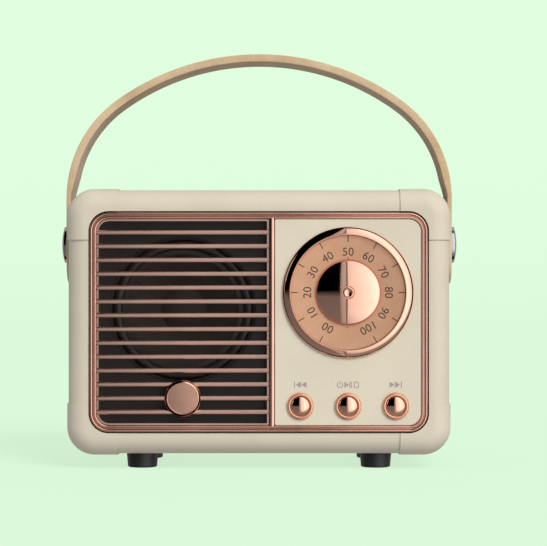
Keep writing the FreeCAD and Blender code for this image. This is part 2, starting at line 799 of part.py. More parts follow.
def build_knob():
    hub_back = f"({board_front} + control_depth + bushing_length + hub_gap)"
    top = f"({knob_base} + knob_height)"
    seat = f"({top} - knob_dimple_depth)"
    place(turned("tuning_knob", [
        ("shaft_radius", hub_back), ("knob_hub_radius", hub_back), ("knob_hub_radius", knob_base),
        ("knob_radius", knob_base), ("knob_radius", f"{knob_base} + knob_side"),
        ("knob_dimple_radius", top, "knob_dome_radius", -1), ("knob_dimple_radius", seat),
        ("pin_radius", seat), ("pin_radius", shaft_end), ("shaft_radius", shaft_end)]),
        "dial_across", "0", "dial_up")
    tip = f"({front} + pin_reach)"
    pin_curve = "((pin_head_radius * pin_head_radius + pin_dome * pin_dome) / (2 * pin_dome))"
    place(turned("knob_pin", [
        ("0", f"{shaft_end} - pin_depth"), ("pin_radius", f"{shaft_end} - pin_depth"), ("pin_radius", seat),
        ("pin_head_radius", seat), ("pin_head_radius", f"{tip} - pin_dome"), ("0", tip, pin_curve, -1)]),
        "dial_across", "0", "dial_up")


def build_tuning_control():
    """Rotary control: body on the control board, bushing forward, and the shaft that the knob sits on."""
    body = new_body("tuning_control")
    can = new_sketch(body, "XZ_Plane", board_front)
    draw_frame(can, "control_width / 2", "control_width / 2", "side_wall / 2")
    pad(body, can, "control_depth")
    bushing = new_sketch(body, "XZ_Plane", f"{board_front} + control_depth")
    draw_circle(bushing, "0", "0", "bushing_radius")
    pad(body, bushing, "bushing_length")
    bore = new_sketch(body, "XZ_Plane", f"{board_front} + board_thickness")
    draw_circle(bore, "0", "0", "shaft_radius + shaft_gap")
    pocket(body, bore, "cabinet_depth", forward=True)
    place(body, "dial_across", "0", "dial_up")
    shaft_root = f"({board_front} + board_thickness + 2 * shaft_gap)"
    place(turned("control_shaft", [
        ("0", shaft_root), ("shaft_radius", shaft_root), ("shaft_radius", shaft_end),
        ("pin_radius", shaft_end),
        ("pin_radius", f"{shaft_end} - pin_depth"), ("0", f"{shaft_end} - pin_depth")]),
        "dial_across", "0", "dial_up")


# ---- buttons and switches ----


def build_buttons():
    switch_front = f"({board_front} + switch_height)"
    plunger_front = f"({switch_front} + plunger_length)"
    flange_front = f"({chassis_front} - 2 * window_gap)"
    flange_back = f"({flange_front} - button_flange)"
    side_front = f"({panel_front} + button_side)"
    rings, switches = [], []
    for step, name in ((-1, "previous"), (0, "play"), (1, "next")):
        across = f"dial_across + {step} * button_pitch"
        place(turned(f"{name}_button", [
            ("0", plunger_front), ("button_stem_radius", plunger_front), ("button_stem_radius", flange_back),
            ("button_flange_radius", flange_back), ("button_flange_radius", flange_front),
            ("button_radius", flange_front), ("button_radius", side_front),
            ("0", f"{panel_front} + button_height", "button_dome_radius", -1)]), across, "0", "button_up")
        root = f"({switch_front} - plunger_root)"
        place(turned(f"{name}_plunger", [
            ("0", root), ("plunger_radius", root), ("plunger_radius", plunger_front), ("0", plunger_front)]),
            across, "0", "button_up")
        inner = "(button_radius + button_gap)"
        ring = turned(f"{name}_ring", [
            (inner, panel_front), ("ring_radius", panel_front),
            ("ring_radius", f"{panel_front} + ring_height - ring_edge"),
            ("ring_radius - ring_edge", f"{panel_front} + ring_height", "ring_edge", -1),
            (f"{inner} + ring_edge", f"{panel_front} + ring_height"),
            (inner, f"{panel_front} + ring_height - ring_edge", "ring_edge", -1)])
        move(ring, across, "button_up")
        rings.append(ring)
        switch = new_body(f"{name}_switch")
        case = new_sketch(switch, "XZ_Plane", board_front)
        draw_frame(case, "switch_width / 2", "switch_width / 2", "ring_edge")
        pad(switch, case, "switch_height")
        well = new_sketch(switch, "XZ_Plane", f"{root} - button_travel - shaft_gap")
        draw_circle(well, "0", "0", "plunger_radius + shaft_gap")
        pocket(switch, well, "switch_height", forward=True)
        move(switch, across, "button_up")
        switches.append(switch)
    place(joined("Compound", "button_rings", rings))
    place(joined("Compound", "switch_bodies", switches))


def move(thing, across, up):
    """Put a member of a group where it belongs within the cabinet."""
    thing.setExpression("Placement.Base.x", bound(across))
    thing.setExpression("Placement.Base.z", bound(up))


def build_control_board():
    body = new_body("control_board")
    sketch = new_sketch(body, "XZ_Plane", board_front)
    draw_box(sketch, "dial_across - control_board_width / 2", "dial_across + control_board_width / 2",
             "control_board_bottom", "control_board_top")
    for side in (1, -1):
        for up in ("post_top", "post_bottom"):
            draw_circle(sketch, f"dial_across + {side} * post_span_width / 2", up, "screw_radius")
    pad(body, sketch, "board_thickness", backward=True)
    place(body)


# ---- screws ----


def screw(name, at, direction, shank, head, thickness, length):
    """A cross-head screw whose head rests at a point and whose shank runs along a direction."""
    forward = FreeCAD.Vector(*direction)
    backward = tuple(-part for part in forward)
    cap = rod(f"{name}_head", head, thickness, at, backward)
    stem = rod(f"{name}_shank", shank, length, at, direction)
    whole = joined("MultiFuse", f"{name}_blank", [cap, stem])
    letters = [index for index in range(3) if abs(forward[index]) < 0.5]
    along = [index for index in range(3) if abs(forward[index]) > 0.5][0]
    sign = -forward[along]
    arms = []
    for arm in letters:
        low, high = [None] * 3, [None] * 3
        for index in letters:
            reach = f"{head} * 0.6" if index == arm else "drive_width / 2"
            low[index], high[index] = f"{at[index]} - {reach}", f"{at[index]} + {reach}"
        faces = [f"{at[along]} + {sign} * ({thickness} - drive_depth)",
                 f"{at[along]} + {sign} * 2 * {thickness}"]
        low[along], high[along] = sorted(faces, key=value)
        arms.append(block(f"{name}_arm", low, high))
    return boolean("Cut", f"{name}_screw", whole, joined("MultiFuse", f"{name}_drive", arms))


def build_screws():
    board = []
    for side in (1, -1):
        for up in ("post_top", "post_bottom"):
            at = (f"dial_across + {side} * post_span_width / 2", f"-({board_front} - board_thickness)", up)
            board.append(screw("board", at, (0, -1, 0), "screw_radius", "screw_head_radius", "screw_head",
                               "screw_length"))
        at = (f"main_board_across + {side} * main_post_span / 2", "main_post_back",
              "main_board_up + board_thickness")
        board.append(screw("board", at, (0, 0, -1), "screw_radius", "screw_head_radius", "screw_head",
                           "screw_length"))
    place(joined("Compound", "board_screws", board))
    cover = []
    for side in (1, -1):
        for above in (1, -1):
            at = (f"{side} * boss_across", f"-({boss_end} - cover_seat)", f"{above} * boss_up")
            cover.append(screw("cover", at, (0, -1, 0), "cover_screw_radius", "cover_head_radius",
                               "cover_head", "cover_screw_length"))
    place(joined("Compound", "cover_screws", cover))
    clamps = []
    for across, up in clamp_places():
        at = (across, f"-({chassis_back} - gasket_thickness - flange_thickness)", up)
        clamps.append(screw("clamp", at, (0, -1, 0), "screw_radius / 2", "screw_head_radius", "screw_head",
                            "gasket_thickness + flange_thickness + chassis_thickness / 2"))
    place(joined("Compound", "speaker_screws", clamps))


# ---- loudspeaker ----


def build_speaker():
    """Small full-range driver: every piece is turned about the speaker's own axis."""
    seat = f"({chassis_back} - gasket_thickness)"
    flange_back = f"({seat} - flange_thickness)"
    foot = f"({seat} - basket_depth)"
    cone_back = f"({seat} - cone_depth)"
    spider_front = f"({seat} - spider_depth)"
    shelf = f"({spider_front} - spider_thickness)"
    coil_inner = "(coil_radius - coil_thickness)"
    hole = "(coil_radius + coil_gap)"
    inside = "basket_foot_radius"
    speaker_turned("speaker_gasket", [
        ("gasket_inner_radius", seat), ("speaker_radius", seat), ("speaker_radius", chassis_back),
        ("gasket_inner_radius", chassis_back)])
    speaker_turned("speaker_basket", [
        (hole, foot), (f"{inside} + sheet_thickness", foot), (f"{inside} + sheet_thickness", shelf),
        ("speaker_radius - 2 * sheet_thickness", flange_back), ("speaker_radius", flange_back),
        ("speaker_radius", seat), ("flange_inner_radius", seat), ("flange_inner_radius", flange_back),
        (f"{inside} + shelf_width", spider_front), (inside, spider_front), (inside, shelf),
        (f"{inside} - shelf_width", shelf), (f"{inside} - shelf_width", f"{foot} + sheet_thickness"),
        (hole, f"{foot} + sheet_thickness")])
    span = "(flange_inner_radius - cone_radius)"
    roll = f"({span} * {span} / (8 * surround_roll) + surround_roll / 2)"
    speaker_turned("speaker_surround", [
        ("cone_radius - cone_lip", seat), ("cone_radius", seat), ("flange_inner_radius", seat, roll, 1),
        ("gasket_inner_radius - fit_gap", seat), ("gasket_inner_radius - fit_gap", f"{seat} + surround_lip"),
        ("flange_inner_radius", f"{seat} + surround_lip"),
        ("cone_radius", f"{seat} + surround_lip", roll, -1),
        ("cone_radius - cone_lip", f"{seat} + surround_lip")])
    speaker_turned("speaker_cone", [
        ("coil_radius", cone_back), ("cone_radius - cone_lip", f"{seat} - cone_thickness"),
        ("cone_radius", f"{seat} - cone_thickness"), ("cone_radius", seat), ("cone_radius - cone_lip", seat),
        ("coil_radius", f"{cone_back} + cone_thickness")])
    dust_base = f"({cone_back} + cone_thickness)"
    speaker_turned("dust_cap", [
        ("0", f"{dust_base} + dust_cap_height - cone_thickness"),
        ("coil_radius - cone_thickness", dust_base, "dust_cap_radius", 1), ("coil_radius", dust_base),
        ("0", f"{dust_base} + dust_cap_height", "dust_cap_radius", -1)])
    speaker_turned("voice_coil", [
        (coil_inner, f"{dust_base} - coil_length"), ("coil_radius", f"{dust_base} - coil_length"),
        ("coil_radius", dust_base), (coil_inner, dust_base)])
    speaker_turned("spider", [
        ("coil_radius", shelf), ("spider_radius", shelf), ("spider_radius", spider_front),
        ("coil_radius", spider_front)])
    plate_back = f"({foot} - plate_thickness)"
    magnet_back = f"({plate_back} - magnet_thickness)"
    speaker_turned("top_plate", [
        (hole, plate_back), ("plate_radius", plate_back), ("plate_radius", foot), (hole, foot)])
    speaker_turned("magnet", [
        ("magnet_inner_radius", magnet_back), ("magnet_radius", magnet_back), ("magnet_radius", plate_back),
        ("magnet_inner_radius", plate_back)])
    pole = f"({coil_inner} - coil_gap)"
    speaker_turned("pole_piece", [
        ("0", f"{magnet_back} - yoke_thickness"), ("plate_radius", f"{magnet_back} - yoke_thickness"),
        ("plate_radius", magnet_back), (pole, magnet_back), (pole, foot), ("0", foot)])


def speaker_turned(label, corners):
    place(turned(label, corners), "speaker_across", "0", "speaker_up")


# ---- feet ----


def build_feet():
    names = {(1, -1): "front_right", (-1, -1): "front_left", (1, 1): "rear_right", (-1, 1): "rear_left"}
    for (side, depth), name in names.items():
        body = new_body(f"foot_{name}")
        sketch = new_sketch(body, "XZ_Plane")
        draw(sketch, [
            ("0", "-foot_height"), ("foot_bottom_radius - foot_edge", "-foot_height"),
            ("foot_bottom_radius", "-foot_height + foot_edge", "foot_edge", 1), ("foot_top_radius", "0"),
            ("foot_stem_radius", "0"), ("foot_stem_radius", foot_grip(depth)),
            ("foot_bulb_radius", foot_grip(depth)),
            ("foot_stem_radius", f"{foot_grip(depth)} + foot_bulb"),
            ("0", f"{foot_grip(depth)} + foot_bulb")])
        turn(body, sketch, "V_Axis")
        place(body, f"{side} * foot_across", f"{depth} * foot_back", f"-{half_height}")


def foot_grip(depth):
    """Thickness of the floor that a foot grips: the rear cover's is thicker."""
    return "side_wall" if depth < 0 else "(side_wall + fit_gap + tongue_thickness)"


# ---- strap and rivets ----


def strap_outlines():
    """Outer and inner edges of half the arch, right side, the inner one tapering in to the thin leg."""
    reach = f"({half_width} + cap_proud + strap_gap + strap_leg_thickness)"
    spring = f"({half_height} - strap_spring_drop)"
    crown = f"(({reach} * {reach} + strap_rise * strap_rise - 2 * {reach} * strap_side_radius)" \
            " / (2 * (strap_rise - strap_side_radius)))"
    fall = f"({crown} - strap_rise)"
    inner_crown, inner_radius = f"({crown} - strap_thickness)", "(strap_side_radius - strap_thickness)"
    outlines = []
    for leg, side, side_radius, crown_radius in (
            (reach, reach, "strap_side_radius", crown),
            (f"({reach} - strap_leg_thickness)", f"({reach} - strap_thickness)", inner_radius, inner_crown)):
        spread = f"({crown_radius} / ({crown_radius} - {side_radius}))"
        outlines.append({
            "leg": leg,
            "side_radius": side_radius,
            "crown_radius": crown_radius,
            "joint_across": f"(({side} - {side_radius}) * {spread})",
            "joint_up": f"({spring} + {fall} * ({spread} - 1))",
            "spring": spring,
            "shoulder_across": f"({side} - {side_radius}"
                               f" + ({side_radius} ^ 2 - strap_taper_end ^ 2) ^ 0.5)",
            "shoulder_up": f"({spring} + strap_taper_end)",
            "foot": f"({half_height} - strap_pivot_drop - strap_end_drop)",
        })
    return outlines


def build_strap():
    """Leather strap: two straight legs and a three-centred arch over the cabinet."""
    body = new_body("strap")
    outer, inner = strap_outlines()
    sketch = new_sketch(body, "XZ_Plane")
    draw(sketch, [
        (outer["leg"], outer["foot"]), (outer["leg"], outer["spring"]),
        (outer["joint_across"], outer["joint_up"], outer["side_radius"], 1),
        (f"-{outer['joint_across']}", outer["joint_up"], outer["crown_radius"], 1),
        (f"-{outer['leg']}", outer["spring"], outer["side_radius"], 1), (f"-{outer['leg']}", outer["foot"]),
        (f"-{inner['leg']}", inner["foot"]),
        (f"-{inner['leg']}", f"{inner['spring']} + strap_taper_start"),
        (f"-{inner['shoulder_across']}", inner["shoulder_up"]),
        (f"-{inner['joint_across']}", inner["joint_up"], inner["side_radius"], -1),
        (inner["joint_across"], inner["joint_up"], inner["crown_radius"], -1),
        (inner["shoulder_across"], inner["shoulder_up"], inner["side_radius"], -1),
        (inner["leg"], f"{inner['spring']} + strap_taper_start"), (inner["leg"], inner["foot"])])
    pad(body, sketch, "strap_width", midplane=True)
    floor = value(outer["foot"])
    round_edges(body, "strap_end_radius", lambda edge: edge.BoundBox.ZMax < floor + 1e-4
                and edge.BoundBox.YLength < 1e-6)
    for side in (1, -1):
        hole = new_sketch(body, "YZ_Plane")
        draw_circle(hole, "0", f"{half_height} - strap_pivot_drop", "rivet_radius + rivet_gap")
        pocket(body, hole, "cabinet_width", forward=side > 0)
    place(body)


def side_turned(name, side, corners):
    """Turn a profile of (distance out, radius) about the strap's pivot axis, on one side of the cabinet."""
    body = new_body(name)
    sketch = new_sketch(body, "XY_Plane")
    draw(sketch, corners)
    turn(body, sketch, "H_Axis")
    if side < 0:
        body.Placement = FreeCAD.Placement(FreeCAD.Vector(), FreeCAD.Rotation(FreeCAD.Vector(0, 0, 1), 180))
    body.setExpression("Placement.Base.z", bound(f"{half_height} - strap_pivot_drop"))
    return body


def build_rivets():
    wall_inside = f"({half_width} - side_wall)"
    strap_inside = f"({half_width} + cap_proud + strap_gap)"
    head = f"({strap_inside} + strap_leg_thickness + rivet_side_gap)"
    crown = "(rivet_head_radius - rivet_edge)"
    dome = f"(({crown} * {crown} + rivet_dome * rivet_dome) / (2 * rivet_dome))"
    rivets, washers, clips = [], [], []
    for side in (1, -1):
        rivets.append(side_turned("rivet_one", side, [
            (f"{wall_inside} - 2 * clip_thickness", "0"), (f"{head} + rivet_rim + rivet_dome", "0"),
            (f"{head} + rivet_rim", crown, dome, 1),
            (f"{head} + rivet_rim - rivet_edge", "rivet_head_radius", "rivet_edge", 1),
            (head, "rivet_head_radius"),
            (head, "rivet_radius"), (f"{wall_inside} - 2 * clip_thickness", "rivet_radius")]))
        washers.append(side_turned("washer_one", side, [
            (half_width, "rivet_radius"), (f"{strap_inside} - rivet_side_gap", "rivet_radius"),
            (f"{strap_inside} - rivet_side_gap", "rivet_washer_radius"),
            (half_width, "rivet_washer_radius")]))
        clips.append(side_turned("clip_one", side, [
            (f"{wall_inside} - clip_thickness", "rivet_radius"), (wall_inside, "rivet_radius"),
            (wall_inside, "clip_radius"), (f"{wall_inside} - clip_thickness", "clip_radius")]))
    place(joined("Compound", "strap_rivets", rivets))
    place(joined("Compound", "rivet_washers", washers))
    place(joined("Compound", "rivet_clips", clips))


# ---- electronics in the rear half ----


def build_main_board():
    body = new_body("main_board")
    board_top = "(main_board_up + board_thickness)"
    back = f"({front} - back_wall - fit_gap)"
    sketch = new_sketch(body, "XY_Plane", "main_board_up")
    draw_box(sketch, "main_board_across - main_board_width / 2", "main_board_across + main_board_width / 2",
             f"{back} - main_board_depth", back)
    for side in (1, -1):
        draw_circle(sketch, f"main_board_across + {side} * main_post_span / 2", "main_post_back",
                    "screw_radius")
    pad(body, sketch, "board_thickness")
    place(body)
    edge = f"({back} - main_board_depth + fit_gap)"
    chip = block("audio_chip", ["main_board_across + chip_width / 2", edge, board_top],
                 ["main_board_across + 3 * chip_width / 2", f"{edge} + chip_width",
                  f"{board_top} + chip_height"])
    shield = block("radio_shield", ["main_board_across - 3 * shield_width / 2", edge, board_top],
                   ["main_board_across - shield_width / 2", f"{edge} + shield_depth",
                    f"{board_top} + shield_height"])
    place(joined("Compound", "board_parts", [chip, shield]))


def build_sockets():
    board_top = "(main_board_up + board_thickness)"
    mouth = f"({front} - usb_setback)"
    usb = new_body("usb_socket")
    case = new_sketch(usb, "XZ_Plane", f"-{mouth}")
    draw_frame(case, "usb_width / 2", "usb_height / 2", "(usb_height / 2 - 0.05)")
    pad(usb, case, "usb_depth")
    inside = new_sketch(usb, "XZ_Plane", f"-{mouth}")
    draw_frame(inside, "usb_width / 2 - usb_metal", "usb_height / 2 - usb_metal",
               "(usb_height / 2 - usb_metal - 0.05)")
    pocket(usb, inside, "usb_depth - usb_tongue", forward=True)
    tongue = new_sketch(usb, "XZ_Plane", f"-({mouth} - usb_depth)")
    draw_box(tongue, "-usb_width / 3", "usb_width / 3", "-usb_tongue / 2", "usb_tongue / 2")
    pad(usb, tongue, "usb_depth - usb_tongue", backward=True)
    place(usb, "usb_across", "0", f"{board_top} + usb_height / 2")
    card = new_body("card_socket")
    case = new_sketch(card, "XZ_Plane", f"-{mouth}")
    draw_box(case, "-card_width / 2", "card_width / 2", "0", "card_height")
    pad(card, case, "card_depth")
    inside = new_sketch(card, "XZ_Plane", f"-{mouth}")
    draw_box(inside, "-card_width / 2 + card_metal", "card_width / 2 - card_metal", "card_metal",
             "card_height - card_metal")
    pocket(card, inside, "card_depth - side_wall", forward=True)
    place(card, "card_across", "0", board_top)


def build_battery():
    wall = f"({front} - back_wall)"
    pad_front = f"({wall} - pad_thickness)"
    foam = new_body("battery_pad")
    sketch = new_sketch(foam, "XZ_Plane", f"-{wall}")
    draw_frame(sketch, "battery_width / 2 - battery_edge", "battery_height / 2 - battery_edge",
               "battery_edge")
    pad(foam, sketch, "pad_thickness")
    place(foam, "battery_across")
    cell = new_body("battery")
    sketch = new_sketch(cell, "XZ_Plane", f"-{pad_front}")
    draw_frame(sketch, "battery_width / 2", "battery_height / 2", "battery_edge")
    pad(cell, sketch, "battery_thickness")
    round_edges(cell, "battery_edge / 2", lambda edge: edge.BoundBox.YLength < 1e-6)
    place(cell, "battery_across")


def build_antenna():
    top = f"({half_height} - side_wall)"
    low = ["-antenna_length / 2", "-antenna_width", f"{top} - antenna_thickness"]
    place(joined("Compound", "antenna_strip", [block("antenna_foil", low, ["antenna_length / 2", "0", top])]))


def lead(label, route, radius):
    """A round lead along straight runs joined by tangent arcs."""
    points = [FreeCAD.Vector(*(value(text) for text in point)) for point in route]
    start = points[0]
    edges = []
    for before, corner, after in zip(points, points[1:], points[2:]):
        arriving, leaving = (corner - before), (after - corner)
        half_turn = arriving.getAngle(leaving) / 2
        setback = 0.45 * min(arriving.Length, leaving.Length)
        bend = setback / math.tan(half_turn)
        print(f"{label} bend radius {bend:.1f}")
        entry = corner - arriving.normalize() * setback
        leave = corner + leaving.normalize() * setback
        inward = (entry + leave) / 2 - corner
        depth = bend / math.cos(half_turn) - bend
        middle = corner + inward.normalize() * depth
        edges.append(Part.LineSegment(start, entry).toShape())
        edges.append(Part.Arc(entry, middle, leave).toShape())
        start = leave
    edges.append(Part.LineSegment(start, points[-1]).toShape())
    path = Part.Wire(edges)
    section = Part.Wire(Part.Circle(points[0], points[1] - points[0], radius).toShape())
    feature = document.addObject("Part::Feature", label)
    feature.Shape = path.makePipeShell([section], True, True)
    feature.Label = label
    expected = math.pi * radius ** 2 * path.Length
    print(f"{label} volume {feature.Shape.Volume:.2f} of {expected:.2f}, length {path.Length:.1f}")
    place(feature)


def build_leads():
    """Short leads that drop on to the main board from the speaker, the battery and the control board."""
    board_top = "(main_board_up + board_thickness)"
    board_edge = f"({front} - back_wall - fit_gap - main_board_depth)"
    basket_foot = f"(basket_depth + gasket_thickness - {chassis_back})"
    rim = "(speaker_up - basket_foot_radius - fit_gap)"
    cell_side = "(battery_across - battery_width / 2)"
    cell_middle = f"({front} - back_wall - pad_thickness - battery_thickness / 2)"
    board_back = f"(board_thickness - {board_front})"
    radius = value("lead_radius")
    lead("speaker_lead", [
        ("speaker_across", basket_foot, rim),
        ("speaker_across", f"{basket_foot} + 6", rim),
        ("speaker_across + 0.1", f"{basket_foot} + 9.7", f"{rim} - 1.5"),
        ("speaker_across + 0.1", f"{basket_foot} + 9.7", board_top)], radius)
    lead("battery_lead", [
        (cell_side, cell_middle, f"{board_top} + 7"),
        (f"{cell_side} - 6", cell_middle, f"{board_top} + 7"),
        (f"{cell_side} - 11.5", f"{cell_middle} - 0.2", f"{board_top} + 5"),
        (f"{cell_side} - 11.5", f"{cell_middle} - 0.2", board_top)], radius)
    lead("control_lead", [
        ("dial_across - 8.9", board_back, f"{board_top} + 5.8"),
        ("dial_across - 8.9", f"{board_back} + 4.9", f"{board_top} + 5.8"),
        ("dial_across - 14.3", f"{board_edge} + 2.4", f"{board_top} + 5"),
        ("dial_across - 14.3", f"{board_edge} + 2.4", board_top)], radius)


# ---- build, check and write ----


front_seats, rear_seats = build_corner_caps()
build_front_shell(front_seats)
build_rear_cover(rear_seats)
build_trim_frame()
build_chassis()
build_grille()
build_badge()
build_control_panel()
build_dial()
build_pointer_ring()
build_knob()
build_tuning_control()
build_buttons()
build_control_board()
build_screws()
build_speaker()
build_feet()
build_strap()
build_rivets()
build_main_board()
build_sockets()
build_battery()
build_antenna()
build_leads()
document.recompute()

for thing in document.Objects:
    if "Invalid" in thing.State or "Error" in thing.State:
        raise RuntimeError(f"{thing.Label} did not build: {thing.State}")
for piece in pieces:
    if piece.Shape.isNull() or not piece.Shape.isValid():
        raise RuntimeError(f"{piece.Label} has no valid shape")

os.makedirs("parts", exist_ok=True)
for piece in pieces:
    piece.Shape.exportStep(f"parts/{piece.Label}.step")
    box = piece.Shape.BoundBox
    print(f"{piece.Label}: {len(piece.Shape.Solids)} solids, volume {piece.Shape.Volume:.1f}, "
          f"z {box.ZMin:.2f} to {box.ZMax:.2f}")
print(f"{len(pieces)} sub-parts")
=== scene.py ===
import math

import bmesh
import bpy
from mathutils import Matrix, Vector


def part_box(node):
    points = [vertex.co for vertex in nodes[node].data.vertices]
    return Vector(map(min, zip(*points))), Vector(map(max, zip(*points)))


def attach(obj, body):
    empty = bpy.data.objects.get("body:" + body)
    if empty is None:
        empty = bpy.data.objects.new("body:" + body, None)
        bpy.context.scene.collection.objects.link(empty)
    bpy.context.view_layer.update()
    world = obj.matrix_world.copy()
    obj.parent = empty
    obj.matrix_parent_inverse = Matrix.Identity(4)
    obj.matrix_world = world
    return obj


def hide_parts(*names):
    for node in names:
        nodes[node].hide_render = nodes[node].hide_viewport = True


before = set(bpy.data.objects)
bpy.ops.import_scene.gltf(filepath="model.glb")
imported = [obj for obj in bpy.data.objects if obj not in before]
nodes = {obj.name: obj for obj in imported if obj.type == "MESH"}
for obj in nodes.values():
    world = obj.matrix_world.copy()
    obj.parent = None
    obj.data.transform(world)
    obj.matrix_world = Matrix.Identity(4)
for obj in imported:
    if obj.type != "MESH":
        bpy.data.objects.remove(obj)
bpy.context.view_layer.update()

mm = 0.001


def toLinear(hexColour):
    channels = [int(hexColour[i:i + 2], 16) / 255 for i in (1, 3, 5)]
    return [c / 12.92 if c <= 0.04045 else ((c + 0.055) / 1.055) ** 2.4 for c in channels] + [1.0]


def perSize(sizeMm):
    return 1000 / sizeMm  # texture scale that gives one cell for each size in millimetres


def addNode(tree, kind, values=None, links=None, **settings):
    node = tree.nodes.new("ShaderNode" + kind)
    for key, value in settings.items():
        setattr(node, key, value)
    for socket, value in (values or {}).items():
        node.inputs[socket].default_value = value
    for socket, source in (links or {}).items():
        tree.links.new(source, node.inputs[socket])
    return node


def newMaterial(name):
    material = bpy.data.materials.new(name)
    material.use_nodes = True
    tree = material.node_tree
    shader = tree.nodes["Principled BSDF"]
    place = addNode(tree, "TexCoord").outputs["Object"]
    return material, tree, shader, place


def mixColour(tree, first, second, factor):
    mix = addNode(tree, "Mix", {6: toLinear(first), 7: toLinear(second)}, {0: factor}, data_type="RGBA")
    return mix.outputs[2]


def middle(node):
    low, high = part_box(node)
    return (Vector(low) + Vector(high)) / 2


def frontOf(node):
    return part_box(node)[0][1]  # y of the node's foremost point


def newObject(name, mesh, material, body, angle=30):
    mesh.shade_smooth()
    mesh.set_sharp_from_angle(angle=math.radians(angle))
    piece = bpy.data.objects.new(name, mesh)
    bpy.context.scene.collection.objects.link(piece)
    for one in material if isinstance(material, (list, tuple)) else [material]:
        mesh.materials.append(one)
    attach(piece, body)
    return piece


def meshFrom(name, build):
    bm = bmesh.new()
    build(bm)
    bmesh.ops.recalc_face_normals(bm, faces=bm.faces)
    mesh = bpy.data.meshes.new(name)
    bm.to_mesh(mesh)
    bm.free()
    return mesh


def softened(corners, steps=6):
    # rounds each (radius, along, rounding) corner of a profile with an arc
    points = []
    for i, (r, a, rounding) in enumerate(corners):
        here = Vector((r, a))
        if rounding <= 0 or i in (0, len(corners) - 1):
            points.append(here)
            continue
        before = (Vector(corners[i - 1][:2]) - here)
        after = (Vector(corners[i + 1][:2]) - here)
        cut = min(rounding, before.length * 0.49, after.length * 0.49)
        start, end = here + before.normalized() * cut, here + after.normalized() * cut
        for k in range(steps + 1):
            t = k / steps
            points.append(start * (1 - t) ** 2 + here * 2 * t * (1 - t) + end * t ** 2)
    return points


def arcBetween(start, end, radius, steps=24):
    # points along an arc that bulges away from the profile's inside, going from the rim inwards
    first, last = Vector(start), Vector(end)
    chord = last - first
    rise = math.sqrt(max(radius ** 2 - (chord.length / 2) ** 2, 0))
    centre = (first + last) / 2 + Vector((-chord.y, chord.x)).normalized() * rise
    a, b = (first - centre), (last - centre)
    sweep = a.angle_signed(b)
    return [(*(centre + Matrix.Rotation(-sweep * k / steps, 2) @ a), 0) for k in range(steps + 1)]


def turnedMesh(name, profile, centre, axis, steps=160):
    # spins a (radius, along) profile in mm about an axis through centre
    out = Vector(axis).normalized()
    side = out.orthogonal().normalized()
    other = out.cross(side)

    def build(bm):
        rings = []
        for radius, along in profile:
            if radius < 1e-5:
                rings.append([bm.verts.new(centre + out * along * mm)])
                continue
            ring = []
            for k in range(steps):
                angle = 2 * math.pi * k / steps
                spoke = side * math.cos(angle) + other * math.sin(angle)
                ring.append(bm.verts.new(centre + (out * along + spoke * radius) * mm))
            rings.append(ring)
        for first, second in zip(rings, rings[1:]):
            if len(first) == 1 and len(second) == 1:
                continue
            for k in range(steps):
                n = (k + 1) % steps
                if len(first) == 1:
                    bm.faces.new((first[0], second[k], second[n]))
                elif len(second) == 1:
                    bm.faces.new((first[k], first[n], second[0]))
                else:
                    bm.faces.new((first[k], first[n], second[n], second[k]))
        if len(rings[0]) > 1 and len(rings[-1]) > 1 and (profile[0] - profile[-1]).length > 1e-6:
            for k in range(steps):
                n = (k + 1) % steps
                bm.faces.new((rings[-1][k], rings[-1][n], rings[0][n], rings[0][k]))
    return meshFrom(name, build)


camera = {"across": 3.2, "up": 42.72, "distance": 465, "imageScale": 4.609, "imageWidth": 547}


def buildCamera():
    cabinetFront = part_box("front_shell")[0][1]
    data = bpy.data.cameras.new("camera")
    data.sensor_width = 36
    data.lens = camera["imageScale"] * camera["distance"] * data.sensor_width / camera["imageWidth"]
    data.clip_start = 0.01
    data.clip_end = 50
    eye = bpy.data.objects.new("camera", data)
    eye.location = (camera["across"] * mm, cabinetFront - camera["distance"] * mm, camera["up"] * mm)
    eye.rotation_euler = (math.pi / 2, 0, 0)
    bpy.context.scene.collection.objects.link(eye)
    bpy.context.scene.camera = eye
    print("camera ready")


# the sweep's glow keeps its ground even; share is how much of the lamps' light and shadow it shows; metres
stage = {"colour": "#dcfadc", "glow": 0.80, "share": 0.2, "floorReach": 4.0, "wallBack": 2.2,
         "wallHeight": 3.0, "bend": 0.8, "bendSteps": 12}
keyLight = {"towards": (0.42, -0.70, 0.58), "strength": 2.4, "spreadDegrees": 32, "colour": "#fffcf8"}
roomLight = {"colour": "#fdfcff", "strength": 0.54}
